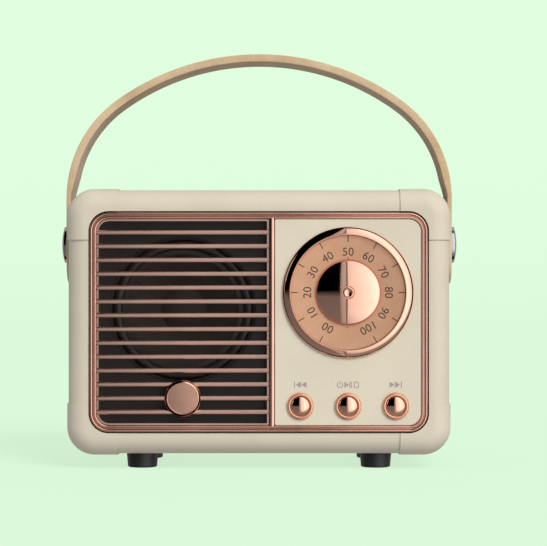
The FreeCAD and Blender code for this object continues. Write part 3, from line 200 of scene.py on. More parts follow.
# cards that only show in polished surfaces, in metres: y, left, right, bottom, top, the glow of each corner
# from the lower left anticlockwise
cards = {
    "brightCard": (-0.95, 0.04, 0.95, -0.4, 1.9, (0.92, 1.75, 1.8, 0.92)),
    "wideRightCard": (-0.95, 0.95, 6.0, -0.4, 6.0, (1.55, 0.6, 0.5, 1.6)),
    "highCard": (-0.95, 0.04, 0.95, 1.9, 6.0, (0.92, 1.95, 0.8, 0.5)),
    "lowBrightCard": (-0.95, 0.04, 0.95, -1.3, -0.4, (0.3, 0.6, 1.85, 0.92)),
    "lowRightCard": (-0.95, 0.95, 6.0, -1.3, -0.4, (0.6, 0.4, 0.6, 1.85)),
    "groundCard": (-0.95, 0.04, 6.0, -6.0, -1.3, (0.2, 0.3, 0.45, 0.3)),
    "brownCard": (-0.95, -2.3, -0.13, -1.7, -0.06, (0.22, 0.24, 0.18, 0.14)),
    "wideBrownCard": (-0.95, -6.0, -2.3, -1.7, 0.07, (0.12, 0.2, 0.14, 0.1)),
    "lowBrownCard": (-0.95, -6.0, -0.13, -6.0, -1.7, (0.1, 0.18, 0.26, 0.2)),
    "fadingCard": (-0.95, -2.3, -0.13, -0.06, 0.07, (0.13, 0.15, 0.004, 0.004)),
    "stripCard": (-0.95, -0.13, 0.0, -6.0, 6.0, (0.2, 0.3, 0.8, 0.5)),
    "seamCard": (-0.95, 0.0, 0.04, -6.0, 6.0, (0.1, 0.1, 0.2, 0.2)),
    "edgeCard": (-0.95, -2.9, -2.35, 0.5, 1.9, (1.1, 1.1, 1.1, 1.1)),
    "leftCard": (-0.95, -6.0, -3.1, 0.07, 2.2, (0.3, 0.3, 0.25, 0.25)),
    "rearCard": (1.1, -8.0, 8.0, -3.0, 6.0, (0.35, 0.4, 0.65, 0.55)),
}


def buildStage():
    # matt painted sweep: an even pale green with a faint soft shadow under the feet
    material, _, shader, _ = newMaterial("paintedStudioSweep")
    green = toLinear(stage["colour"])[:3]
    shader.inputs["Base Color"].default_value = [c * stage["share"] for c in green] + [1]
    shader.inputs["Roughness"].default_value = 1.0
    shader.inputs["Specular IOR Level"].default_value = 0.0
    shader.inputs["Emission Color"].default_value = toLinear(stage["colour"])
    shader.inputs["Emission Strength"].default_value = stage["glow"]

    def build(bm):
        reach, back, height, bend = (stage[k] for k in ("floorReach", "wallBack", "wallHeight", "bend"))
        line = [(-reach, 0.0), (back - bend, 0.0)]
        for k in range(1, stage["bendSteps"] + 1):
            angle = math.pi / 2 * k / stage["bendSteps"]
            line.append((back - bend + bend * math.sin(angle), bend - bend * math.cos(angle)))
        line.append((back, height))
        pairs = [(bm.verts.new((-reach, y, z)), bm.verts.new((reach, y, z))) for y, z in line]
        for (a, b), (c, d) in zip(pairs, pairs[1:]):
            bm.faces.new((a, b, d, c))
    mesh = meshFrom("studioSweep", build)
    mesh.materials.append(material)
    mesh.shade_smooth()
    sweep = bpy.data.objects.new("studioSweep", mesh)
    bpy.context.scene.collection.objects.link(sweep)
    sweep.visible_glossy = False
    sweep.visible_diffuse = False
    print("stage ready")


def buildCard(name, depth, left, right, bottom, top, glows):
    # a plain sheet of light that fades between its corners, so polished pieces show a soft edge
    material, tree, _, _ = newMaterial(name)
    glow = addNode(tree, "VertexColor", layer_name="glow")
    light = addNode(tree, "Emission", {"Strength": 1.0}, {"Color": glow.outputs["Color"]})
    tree.links.new(light.outputs[0], tree.nodes["Material Output"].inputs["Surface"])
    mesh = bpy.data.meshes.new(name)
    corners = [(left, bottom), (right, bottom), (right, top), (left, top)]
    mesh.from_pydata([(x, depth, z) for x, z in corners], [], [(0, 1, 2, 3)])
    layer = mesh.color_attributes.new("glow", "FLOAT_COLOR", "POINT")
    for k, level in enumerate(glows):
        layer.data[k].color = (level, level, level, 1)
    mesh.materials.append(material)
    card = bpy.data.objects.new(name, mesh)
    bpy.context.scene.collection.objects.link(card)
    card.visible_camera = False
    card.visible_shadow = False
    card.visible_diffuse = False


def buildLights():
    sun = bpy.data.lights.new("keyLight", "SUN")
    sun.energy = keyLight["strength"]
    sun.angle = math.radians(keyLight["spreadDegrees"])
    sun.color = toLinear(keyLight["colour"])[:3]
    lamp = bpy.data.objects.new("keyLight", sun)
    lamp.rotation_euler = Vector(keyLight["towards"]).to_track_quat("Z", "Y").to_euler()
    lamp.visible_glossy = False
    bpy.context.scene.collection.objects.link(lamp)
    world = bpy.data.worlds.new("studioRoom")
    world.use_nodes = True
    background = world.node_tree.nodes["Background"]
    background.inputs["Color"].default_value = toLinear(roomLight["colour"])
    background.inputs["Strength"].default_value = roomLight["strength"]
    world.cycles_visibility.glossy = False
    bpy.context.scene.world = world
    for name, card in cards.items():
        buildCard(name, *card)
    print("lights ready")


grainedAbs = {"colour": "#d2cab5", "low": "#ccc4af", "grain": 0.6, "depth": 0.012, "roughness": 0.5}


def mouldedAbs(name="creamMouldedAbs", look=grainedAbs):
    # injection-moulded ABS with a leather-grain texture: soft broken highlights on a warm cream, and painted
    # shade that darkens the grain's valleys
    material, tree, shader, place = newMaterial(name)
    cells = addNode(tree, "TexVoronoi", {"Scale": perSize(look["grain"])}, {"Vector": place},
                    feature="DISTANCE_TO_EDGE")
    fine = addNode(tree, "TexNoise", {"Scale": perSize(look["grain"] / 2), "Detail": 3}, {"Vector": place})
    pebble = addNode(tree, "MapRange", {1: 0.0, 2: 0.32}, {0: cells.outputs["Distance"]},
                     interpolation_type="SMOOTHSTEP")
    height = addNode(tree, "Math", {1: 0.45}, {0: fine.outputs[0], 2: pebble.outputs[0]},
                     operation="MULTIPLY_ADD")
    bump = addNode(tree, "Bump", {"Strength": 0.8, "Distance": look["depth"] * mm},
                   {"Height": height.outputs[0]})
    broad = addNode(tree, "TexNoise", {"Scale": perSize(14), "Detail": 4}, {"Vector": place})
    colour = mixColour(tree, look["low"], look["colour"], addNode(
        tree, "MapRange", {1: 0.35, 2: 0.6}, {0: broad.outputs[0]}).outputs[0])
    # painted shade: the grain's valleys are pulled towards the low tone, as if shadowed, on top of the broad
    # random tone
    toneWithCreaseShade = addNode(tree, "Mix", {7: toLinear(look["low"])}, {6: colour}, data_type="RGBA")
    crease = addNode(tree, "MapRange", {1: 0.0, 2: 0.5, 3: 0.5, 4: 0.0}, {0: pebble.outputs[0]})
    tree.links.new(crease.outputs[0], toneWithCreaseShade.inputs[0])
    tree.links.new(toneWithCreaseShade.outputs[2], shader.inputs["Base Color"])
    rough = addNode(tree, "MapRange", {3: look["roughness"] - 0.05, 4: look["roughness"] + 0.08},
                    {0: fine.outputs[0]})
    tree.links.new(rough.outputs[0], shader.inputs["Roughness"])
    tree.links.new(bump.outputs[0], shader.inputs["Normal"])
    shader.inputs["IOR"].default_value = 1.53
    return material


polishing = {"cell": 2.4, "stretch": 14, "depth": 0.001, "cloud": 6}


def platedMetal(name, colour, dark, roughness, metallic=1.0):
    # vacuum-plated or polished metal: mirror-like, with hairline polishing marks that only show in highlights
    material, tree, shader, place = newMaterial(name)
    stretch = addNode(tree, "Mapping", {"Scale": (1, 1, polishing["stretch"]), "Rotation": (0.3, 0.5, 0.2)},
                      {"Vector": place})
    hair = addNode(tree, "TexNoise", {"Scale": perSize(polishing["cell"]), "Detail": 5},
                   {"Vector": stretch.outputs[0]})
    cloud = addNode(tree, "TexNoise", {"Scale": perSize(polishing["cloud"]), "Detail": 3}, {"Vector": place})
    tint = mixColour(tree, dark, colour, addNode(
        tree, "MapRange", {1: 0.3, 2: 0.65}, {0: cloud.outputs[0]}).outputs[0])
    tree.links.new(tint, shader.inputs["Base Color"])
    rough = addNode(tree, "MapRange", {1: 0.35, 2: 0.7, 3: roughness, 4: roughness * 1.12 + 0.01},
                    {0: hair.outputs[0]})
    tree.links.new(rough.outputs[0], shader.inputs["Roughness"])
    bump = addNode(tree, "Bump", {"Strength": 0.1, "Distance": polishing["depth"] * mm},
                   {"Height": hair.outputs[0]})
    tree.links.new(bump.outputs[0], shader.inputs["Normal"])
    shader.inputs["Metallic"].default_value = metallic
    return material


def speckledPlastic(name, colour, low, roughness, grain=0.35, depth=0.012):
    # plain moulded plastic or rubber: fine spark-eroded speckle and a slow change of tone
    material, tree, shader, place = newMaterial(name)
    speck = addNode(tree, "TexNoise", {"Scale": perSize(grain), "Detail": 4}, {"Vector": place})
    cloud = addNode(tree, "TexNoise", {"Scale": perSize(7), "Detail": 3}, {"Vector": place})
    tone = addNode(tree, "Math", {1: 0.5}, {0: speck.outputs[0], 2: cloud.outputs[0]},
                   operation="MULTIPLY_ADD")
    factor = addNode(tree, "MapRange", {1: 0.5, 2: 1.0}, {0: tone.outputs[0]})
    tree.links.new(mixColour(tree, low, colour, factor.outputs[0]), shader.inputs["Base Color"])
    rough = addNode(tree, "MapRange", {3: roughness - 0.08, 4: roughness + 0.1}, {0: speck.outputs[0]})
    tree.links.new(rough.outputs[0], shader.inputs["Roughness"])
    bump = addNode(tree, "Bump", {"Strength": 0.7, "Distance": depth * mm}, {"Height": speck.outputs[0]})
    tree.links.new(bump.outputs[0], shader.inputs["Normal"])
    return material


leather = {"grainColour": "#b98f62", "grainLow": "#a67d52", "edgeColour": "#d8c19d", "edgeLow": "#b69970",
           "fleshColour": "#ae946f", "fleshLow": "#8f7858", "pore": 0.55, "crease": 3.5,
           "fibre": 0.5}


def tannedLeather():
    # grain side of tan leather: pebbled pores and a waxy, uneven sheen
    material, tree, shader, place = newMaterial("tanGrainLeather")
    pores = addNode(tree, "TexVoronoi", {"Scale": perSize(leather["pore"])}, {"Vector": place},
                    feature="DISTANCE_TO_EDGE")
    creases = addNode(tree, "TexNoise", {"Scale": perSize(leather["crease"]), "Detail": 6, "Roughness": 0.6},
                      {"Vector": place})
    pebble = addNode(tree, "MapRange", {1: 0.0, 2: 0.25}, {0: pores.outputs["Distance"]},
                     interpolation_type="SMOOTHSTEP")
    height = addNode(tree, "Math", {1: 0.8}, {0: creases.outputs[0], 2: pebble.outputs[0]},
                     operation="MULTIPLY_ADD")
    bump = addNode(tree, "Bump", {"Strength": 0.8, "Distance": 0.05 * mm}, {"Height": height.outputs[0]})
    factor = addNode(tree, "MapRange", {1: 0.35, 2: 0.62}, {0: creases.outputs[0]})
    tree.links.new(mixColour(tree, leather["grainLow"], leather["grainColour"], factor.outputs[0]),
                   shader.inputs["Base Color"])
    rough = addNode(tree, "MapRange", {3: 0.42, 4: 0.62}, {0: creases.outputs[0]})
    tree.links.new(rough.outputs[0], shader.inputs["Roughness"])
    tree.links.new(bump.outputs[0], shader.inputs["Normal"])
    return material


def cutLeather(name, colour, low, roughness):
    # cut edge or flesh side: short fibres along the strap, dry and matt
    material, tree, shader, place = newMaterial(name)
    stretch = addNode(tree, "Mapping", {"Scale": (1, 3, 1)}, {"Vector": place})
    fibres = addNode(tree, "TexNoise", {"Scale": perSize(leather["fibre"]), "Detail": 6, "Roughness": 0.7},
                     {"Vector": stretch.outputs[0]})
    cloud = addNode(tree, "TexNoise", {"Scale": perSize(9), "Detail": 3}, {"Vector": place})
    tone = addNode(tree, "Math", {1: 0.6}, {0: fibres.outputs[0], 2: cloud.outputs[0]},
                   operation="MULTIPLY_ADD")
    factor = addNode(tree, "MapRange", {1: 0.5, 2: 1.05}, {0: tone.outputs[0]})
    tree.links.new(mixColour(tree, low, colour, factor.outputs[0]), shader.inputs["Base Color"])
    bump = addNode(tree, "Bump", {"Strength": 0.9, "Distance": 0.04 * mm}, {"Height": fibres.outputs[0]})
    tree.links.new(bump.outputs[0], shader.inputs["Normal"])
    shader.inputs["Roughness"].default_value = roughness
    shader.inputs["Sheen Weight"].default_value = 0.2
    return material


def turnedAluminium(name, colour, dark, centre, dish=0.0):
    # face-turned and anodised: fine rings about the centre fan the highlight out; dish makes it look hollow
    material, tree, shader, place = newMaterial(name)
    about = addNode(tree, "Mapping", {"Location": tuple(-c for c in centre)}, {"Vector": place})
    split = addNode(tree, "SeparateXYZ", {}, {0: about.outputs[0]})
    flat = addNode(tree, "CombineXYZ", {}, {0: split.outputs[0], 1: split.outputs[2]})
    radius = addNode(tree, "VectorMath", {}, {0: flat.outputs[0]}, operation="LENGTH")
    rings = addNode(tree, "TexNoise", {"Scale": perSize(0.09), "Detail": 2}, {"W": radius.outputs["Value"]},
                    noise_dimensions="1D")
    cloud = addNode(tree, "TexNoise", {"Scale": perSize(4), "Detail": 2}, {"Vector": place})
    factor = addNode(tree, "MapRange", {1: 0.3, 2: 0.7}, {0: cloud.outputs[0]})
    tree.links.new(mixColour(tree, dark, colour, factor.outputs[0]), shader.inputs["Base Color"])
    bump = addNode(tree, "Bump", {"Strength": 0.35, "Distance": 0.006 * mm}, {"Height": rings.outputs[0]})
    squared = addNode(tree, "Math", {1: 2.0}, {0: radius.outputs["Value"]}, operation="POWER")
    hollow = addNode(tree, "Bump", {"Strength": 1.0, "Distance": dish}, {"Height": squared.outputs[0],
                                                                         "Normal": bump.outputs[0]})
    tree.links.new((hollow if dish else bump).outputs[0], shader.inputs["Normal"])
    shader.inputs["Metallic"].default_value = 1.0
    shader.inputs["Roughness"].default_value = 0.34
    return material


def dressNodes():
    cream = mouldedAbs()
    panel = mouldedAbs("creamPanelAbs", {**grainedAbs, "colour": "#dad2bc", "low": "#d4ccb6", "grain": 0.45})
    trim = platedMetal("roseGoldPlating", "#e9baa6", "#e4b29d", 0.12)
    slats = platedMetal("roseGoldSlatPlating", "#f9cfbd", "#f4c6b3", 0.12)
    chassisAbs = speckledPlastic("blackMouldedAbs", "#26201e", "#1e1917", 0.55)
    laminate = speckledPlastic("greenBoardLaminate", "#17562e", "#0f4424", 0.3)
    steel = platedMetal("zincPlatedSteel", "#b4b6b4", "#9fa2a0", 0.32)
    darkSteel = platedMetal("blackZincSteel", "#4a4b4e", "#3a3b3d", 0.35)
    powderCoat = speckledPlastic("blackPowderCoat", "#2a2726", "#221f1e", 0.5, grain=0.2)
    paper = speckledPlastic("pressedPaperCone", "#38302c", "#2e2724", 0.85, grain=0.6, depth=0.05)
    rubber = speckledPlastic("butylRubber", "#2d2623", "#26201d", 0.45)
    looks = {
        cream: ["front_shell", "rear_cover", "rear_corner_caps", "front_cap_top_right", "front_cap_top_left",
                "front_cap_bottom_right", "front_cap_bottom_left"],
        panel: ["control_panel"],
        slats: ["grille"],
        chassisAbs: ["chassis", "switch_bodies", "board_parts", "magnet"],
        laminate: ["control_board", "main_board"],
        steel: ["top_plate", "pole_piece", "tuning_control", "control_shaft", "rivet_clips"],
        darkSteel: ["board_screws", "cover_screws", "speaker_screws"],
        powderCoat: ["speaker_basket"],
        paper: ["speaker_cone"],
        rubber: ["speaker_surround", "speaker_gasket"],
        speckledPlastic("dustCapCloth", "#3a322e", "#2f2825", 0.8, grain=0.3, depth=0.03): ["dust_cap"],
        speckledPlastic("resinCloth", "#c49a54", "#a9803f", 0.8, grain=0.4, depth=0.04): ["spider"],
        platedMetal("copperWinding", "#b87350", "#9a5c3c", 0.35): ["voice_coil", "antenna_strip"],
        speckledPlastic("ivoryPbt", "#cdc8be", "#bdb7ab", 0.5):
            ["previous_plunger", "play_plunger", "next_plunger"],
        speckledPlastic("naturalNylon", "#dad4c6", "#cac3b2", 0.45): ["rivet_washers"],
        platedMetal("tinPlatedSteel", "#bcbec0", "#a6a8aa", 0.25): ["usb_socket", "card_socket"],
        platedMetal("pouchFoil", "#b2b6bc", "#9ca0a6", 0.4): ["battery"],
        speckledPlastic("whiteFoamTape", "#ebebe6", "#dcdcd6", 0.9, grain=0.5, depth=0.05): ["battery_pad"],
        speckledPlastic("redLeadPvc", "#a8241f", "#8c1a16", 0.35):
            ["speaker_lead", "battery_lead", "control_lead"],
    }
    for material, names in looks.items():
        for name in names:
            for one in nodes[name].material_slots:
                one.material = material
    print("CAD nodes dressed")
    return trim


trimRail = {"radius": 4.3, "seam": 0.15, "outerBead": 0.85, "groove": 0.1, "innerBead": 0.68,
            "outerProud": 0.6, "innerProud": 0.5, "floorProud": -0.12, "tuck": 0.2, "barAcross": 2.85,
            "barWidth": 1.26}


def roundedLoop(halfWide, halfHigh, radius, steps=12):
    points = []
    for quarter, (right, up) in enumerate(((1, 1), (-1, 1), (-1, -1), (1, -1))):
        for k in range(steps + 1):
            angle = math.pi / 2 * (quarter + k / steps)
            points.append(((halfWide - radius) * right + radius * math.cos(angle),
                           (halfHigh - radius) * up + radius * math.sin(angle)))
    return points


def halfRound(start, width, low, high, steps=12):
    # a half-round bead over a stretch of a profile, from its first edge to its last
    return [(start + width / 2 * (1 - math.cos(math.pi * k / steps)),
             low + (high - low) * math.sin(math.pi * k / steps) ** 0.8) for k in range(steps + 1)]


def buildTrim(finish):
    low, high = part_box("trim_frame")
    middleX, middleZ = (low[0] + high[0]) / 2 / mm, (low[2] + high[2]) / 2 / mm
    halfWide, halfHigh = (high[0] - low[0]) / 2 / mm, (high[2] - low[2]) / 2 / mm
    front, back = low[1] / mm + trimRail["outerProud"], high[1] / mm
    floor, bead, seam = trimRail["floorProud"], trimRail["outerBead"], trimRail["seam"]
    innerStart = bead + trimRail["groove"]
    inset = innerStart + trimRail["innerBead"]
    profile = [(seam, front - back), *halfRound(seam, bead - seam, floor, trimRail["outerProud"]),
               *halfRound(innerStart, trimRail["innerBead"], floor, trimRail["innerProud"]),
               (inset, front - back)]

    def buildRing(bm):
        loops = []
        for way, proud in profile:
            loop = roundedLoop(halfWide - way, halfHigh - way, trimRail["radius"] - way)
            loops.append([bm.verts.new(Vector((middleX + x, front - proud, middleZ + z)) * mm)
                          for x, z in loop])
        for first, second in zip(loops, loops[1:] + loops[:1]):
            for k in range(len(first)):
                n = (k + 1) % len(first)
                bm.faces.new((first[k], first[n], second[n], second[k]))

    def buildBar(bm):
        left = trimRail["barAcross"] - trimRail["barWidth"] / 2
        line = [(left, front - back), *halfRound(left, trimRail["barWidth"], floor, trimRail["innerProud"]),
                (left + trimRail["barWidth"], front - back)]
        reach = halfHigh - inset + trimRail["tuck"]
        ends = [[bm.verts.new(Vector((x, front - proud, middleZ + up * reach)) * mm) for x, proud in line]
                for up in (-1, 1)]
        for k in range(len(line)):
            n = (k + 1) % len(line)
            bm.faces.new((ends[0][k], ends[0][n], ends[1][n], ends[1][k]))
        bm.faces.new(ends[0])
        bm.faces.new(ends[1][::-1])
    for name, build in (("trimRail", buildRing), ("trimBar", buildBar)):
        piece = newObject(name, meshFrom(name, build), finish, "cabinet", 50)
        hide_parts("trim_frame")
    print("trim ready")


dial = {"hole": 3.5, "rimSide": 0.08, "rimWidth": 0.12, "rimReach": 0.5, "dish": 2.6, "metallic": 0.7,
        "numerals": 11, "turnPerNumeral": 30, "tickFrom": 10.95, "tickTo": 12.4, "tickWidth": 0.2,
        "numeralRadius": 8.75, "numeralHeight": 1.75, "capShare": 0.70, "spacing": 1.05, "inkDepth": 0.015,
        "inkColour": "#4a3428", "inkLow": "#3c2c24"}


def flatPiece(bm, outline, centre, depth):
    # a thin printed shape standing just proud of a front-facing surface
    lower = [bm.verts.new(centre + Vector((x, 0, z)) * mm) for x, z in outline]
    upper = [bm.verts.new(centre + Vector((x, -depth, z)) * mm) for x, z in outline]
    bm.faces.new(upper)
    bm.faces.new(lower[::-1])
    for k in range(len(outline)):
        n = (k + 1) % len(outline)
        bm.faces.new((lower[k], lower[n], upper[n], upper[k]))


def buildDialFace():
    centre = middle("dial_face")
    low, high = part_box("dial_face")
    radius = (high[0] - low[0]) / 2 / mm
    depth = (high[1] - low[1]) / mm
    top, hole = depth / 2, dial["hole"]
    profile = softened([(hole, -top, 0), (radius, -top, 0), (radius, top - dial["rimSide"], 0.05),
                        (radius - dial["rimWidth"], top, 0.1), (radius - dial["rimReach"], top, 0),
                        (hole, top, 0)])
    face = turnedAluminium("roseGoldSatinFace", "#e0b08e", "#d9a683", centre, dial["dish"])
    face.node_tree.nodes["Principled BSDF"].inputs["Metallic"].default_value = dial["metallic"]
    mesh = turnedMesh("dialFace", profile, centre, (0, -1, 0))
    piece = newObject("dialFace", mesh, face, "cabinet")
    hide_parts("dial_face")
    return top


def dialAngle(k):
    return math.radians((k - dial["numerals"] // 2) * dial["turnPerNumeral"])


def buildDialPrint(faceHeight):
    centre = middle("dial_face") + Vector((0, -faceHeight * mm, 0))
    ink = speckledPlastic("dialPrintingInk", dial["inkColour"], dial["inkLow"], 0.6, grain=0.12, depth=0.003)

    def build(bm):
        for k in range(dial["numerals"]):
            angle = dialAngle(k)
            out = Vector((math.sin(angle), math.cos(angle)))
            side = Vector((math.cos(angle), -math.sin(angle)))
            half = side * dial["tickWidth"] / 2
            ends = [out * dial["tickFrom"] - half, out * dial["tickTo"] - half,
                    out * dial["tickTo"] + half, out * dial["tickFrom"] + half]
            flatPiece(bm, [tuple(p) for p in ends], centre, dial["inkDepth"])
    piece = newObject("dialTicks", meshFrom("dialTicks", build), ink, "cabinet")
    for k in range(dial["numerals"]):
        text = bpy.data.curves.new(f"numeral{k}", "FONT")
        text.body = "00" if k == 0 else str(k * 10)
        text.align_x, text.align_y = "CENTER", "CENTER"
        text.size = dial["numeralHeight"] / dial["capShare"] * mm
        text.extrude = dial["inkDepth"] * mm
        text.space_character = dial["spacing"]
        letter = bpy.data.objects.new(f"numeral{k}", text)
        bpy.context.scene.collection.objects.link(letter)
        angle = dialAngle(k)
        spot = centre + Vector((math.sin(angle), 0, math.cos(angle))) * dial["numeralRadius"] * mm
        turn = Matrix.Rotation(angle, 4, "Y") @ Matrix.Rotation(math.pi / 2, 4, "X")
        bpy.context.view_layer.update()
        mesh = bpy.data.meshes.new_from_object(letter.evaluated_get(bpy.context.evaluated_depsgraph_get()))
        mesh.transform(Matrix.Translation(spot) @ turn)
        bpy.data.objects.remove(letter)
        mesh.materials.clear()
        newObject(f"dialNumeral{k}", mesh, ink, "cabinet")
    print("dial printed")


bezel = {"innerRadius": 12.48, "lip": 0.25, "side": 0.5, "edge": 0.04, "innerEdge": 0.05, "crown": 3.0}


def buildBezel():
    low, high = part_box("dial_bezel")
    face = middle("dial_bezel")
    seat = Vector((face.x, high[1], face.z))
    outer, height, inner = (high[0] - low[0]) / 2 / mm, (high[1] - low[1]) / mm, bezel["innerRadius"]
    side, edge = bezel["side"], bezel["edge"]
    slope = arcBetween((outer - edge, side + 0.06), (inner + bezel["lip"], height), bezel["crown"])
    profile = softened([(inner, 0, 0), (outer, 0, 0), (outer, side, edge), *slope,
                        (inner + bezel["innerEdge"], height, 0.03), (inner, height - 0.1, 0),
                        (inner, 0.01, 0)])
    mirror = platedMetal("roseGoldMirrorPlating", "#fac6ae", "#f6c0a7", 0.06)
    piece = newObject("dialBezel", turnedMesh("dialBezel", profile, seat, (0, -1, 0), 192), mirror,
                      "cabinet")
    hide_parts("dial_bezel")
    return mirror


knob = {"side": 0.42, "height": 1.72, "edge": 0.04, "domeSteps": 60, "dimpleRadius": 1.45, "dimpleEdge": 0.06,
        "dimpleDepth": 0.25, "hub": 3.2, "pinCollar": 0.9, "pinEdge": 0.12, "pinSteps": 16,
        "pinRadius": 1.2, "pinShank": 0.8, "pinBowl": 0.95, "pinBowlDepth": 0.42}


def buildKnob(mirror):
    low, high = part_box("tuning_knob")
    top = Vector((middle("tuning_knob").x, low[1], middle("tuning_knob").z))
    radius, total, height = (high[0] - low[0]) / 2 / mm, (high[1] - low[1]) / mm, knob["height"]
    rise, rim = height - knob["side"], radius - 0.05
    ball = (rim ** 2 + rise ** 2) / (2 * rise)
    steps = knob["domeSteps"]
    reaches = [rim + (knob["dimpleRadius"] - rim) * k / steps for k in range(steps + 1)]
    dome = [(reach, math.sqrt(ball ** 2 - reach ** 2) - ball, 0) for reach in reaches]
    corners = [(knob["hub"], -total, 0), (knob["hub"], -height, 0), (radius, -height, knob["edge"]),
               (radius, knob["side"] - height - 0.06, knob["edge"]), *dome,
               (knob["dimpleRadius"] - knob["dimpleEdge"], -knob["dimpleDepth"], 0.03),
               (0, -knob["dimpleDepth"], 0)]
    mesh = turnedMesh("tuningKnob", softened(corners), top, (0, -1, 0), 192)
    piece = newObject("tuningKnob", mesh, mirror, "tuning_dial", 40)
    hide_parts("tuning_knob")
    low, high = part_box("knob_pin")
    top = Vector((middle("knob_pin").x, low[1], middle("knob_pin").z))
    bowl, depth = knob["pinBowl"], knob["pinBowlDepth"]
    turns = [math.pi / 2 * k / knob["pinSteps"] for k in range(knob["pinSteps"] + 1)]
    dish = [(bowl * math.cos(turn), -depth * math.sin(turn), 0) for turn in turns]
    corners = [(knob["pinShank"], (low[1] - high[1]) / mm, 0), (knob["pinShank"], -knob["pinCollar"], 0),
               (knob["pinRadius"], -knob["pinCollar"], 0.05), (knob["pinRadius"], -0.02, knob["pinEdge"]),
               *dish]
    mesh = turnedMesh("knobPin", softened(corners), top, (0, -1, 0), 96)
    piece = newObject("knobPin", mesh, mirror, "tuning_dial", 40)
    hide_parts("knob_pin")
    enamel = speckledPlastic("salmonEnamel", "#cf7a5e", "#bd6c52", 0.25, grain=0.3, depth=0.002)
    for one in nodes["pointer_ring"].material_slots:
        one.material = enamel
    print("knob ready")


button = {"radius": 2.05, "side": 0.55, "height": 1.3, "domeRadius": 3.2, "edge": 0.03, "stem": 1.2,
          "skirt": 4.0}
buttonRing = {"bore": 2.14, "boreShare": 0.7, "outer": 2.95, "outerShare": 0.45, "crownFrom": 2.62,
              "crownTo": 2.32}


def buildButtons(mirror):
    ringFinish = platedMetal("roseGoldRingPlating", "#f6bb9b", "#f0b292", 0.22, metallic=0.75)
    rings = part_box("button_rings")
    ringFront, ringBack = rings[0][1], rings[1][1]
    for name in ("previous", "play", "next"):
        low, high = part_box(f"{name}_button")
        centre = middle(f"{name}_button")
        top = Vector((centre.x, low[1], centre.z))
        radius, length = button["radius"], (high[1] - low[1]) / mm
        shoulder = button["side"] - button["height"]
        dome = arcBetween((radius - button["edge"], shoulder), (0, 0), button["domeRadius"])
        corners = [(button["stem"], -length, 0), (button["stem"], -button["skirt"], 0),
                   (radius, -button["skirt"], 0.1), (radius, shoulder - 0.04, button["edge"]), *dome]
        mesh = turnedMesh(f"{name}Button", softened(corners), top, (0, -1, 0), 128)
        piece = newObject(f"{name}Button", mesh, mirror, f"{name}_key", 40)
        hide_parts(f"{name}_button")
        seat = Vector((centre.x, ringBack, centre.z))
        tall, bore, outer = (ringBack - ringFront) / mm, buttonRing["bore"], buttonRing["outer"]
        corners = [(bore, 0, 0), (outer, 0, 0), (outer, tall * buttonRing["outerShare"], 0.12),
                   (buttonRing["crownFrom"], tall, 0.25), (buttonRing["crownTo"], tall, 0.12),
                   (bore, tall * buttonRing["boreShare"], 0.1), (bore, 0.01, 0)]
        mesh = turnedMesh(f"{name}Ring", softened(corners), seat, (0, -1, 0), 128)
        ring = newObject(f"{name}Ring", mesh, ringFinish, "cabinet", 40)
        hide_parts("button_rings")
    print("buttons ready")


symbols = {"up": 18.48, "height": 1.4, "bar": 0.2, "inkColour": "#a49f9b", "inkLow": "#98938f",
           "depth": 0.015}


def ringOutline(radius, width, start, end, steps=28):
    angles = [math.radians(start + (end - start) * k / steps) for k in range(steps + 1)]
    outer = [(radius * math.cos(a), radius * math.sin(a)) for a in angles]
    inner = [((radius - width) * math.cos(a), (radius - width) * math.sin(a)) for a in reversed(angles)]
    return outer + inner


def buildSymbols():
    ink = speckledPlastic("greyPadPrintInk", symbols["inkColour"], symbols["inkLow"], 0.6,
                          grain=0.12, depth=0.003)
    half, bar = symbols["height"] / 2, symbols["bar"]

    def box(left, right, low=-half, high=half):
        return [(left, low), (right, low), (right, high), (left, high)]

    def arrow(tail, tip):
        return [(tail, -half), (tip, 0), (tail, half)]
    shapes = {
        "previous": [box(-1.35, -1.35 + bar), arrow(0.15, -1.0), arrow(1.35, 0.2)],
        "next": [box(1.35 - bar, 1.35), arrow(-0.15, 1.0), arrow(-1.35, -0.2)],
        "play": [[(x - 1.72, z) for x, z in ringOutline(half, bar, 125, 415)],
                 box(-1.72 - bar / 2, -1.72 + bar / 2, 0.05, half + 0.08),
                 arrow(-0.78, 0.22), box(0.3, 0.3 + bar), box(0.66, 0.66 + bar),
                 box(1.3, 1.3 + bar), box(2.2, 2.2 + bar, -half, half - 0.3),
                 box(1.3 + bar, 2.2, -half, -half + bar), box(1.3 + bar, 2.05, half - bar, half),
                 [(2.05, half - bar), (2.2, half - 0.35), (2.4, half - 0.35), (2.05, half)]],
    }
    face = frontOf("control_panel")
    for name, outlines in shapes.items():
        centre = Vector((middle(f"{name}_button").x, face, symbols["up"] * mm))

        def build(bm):
            for outline in outlines:
                flatPiece(bm, outline, centre, symbols["depth"])
        newObject(f"{name}Symbol", meshFrom(f"{name}Symbol", build), ink, "cabinet")
    print("symbols printed")


strap = {"legThickness": 1.0, "thickness": 1.65, "taperStart": 1.0, "taperEnd": 5.0, "sideRadius": 27.0,
         "rise": 32.2, "endRadius": 5.2, "rounding": 0.16, "step": 0.9, "spread": 0.4, "creaseInset": 1.3,
         "creaseWidth": 0.45, "creaseDepth": 0.14}


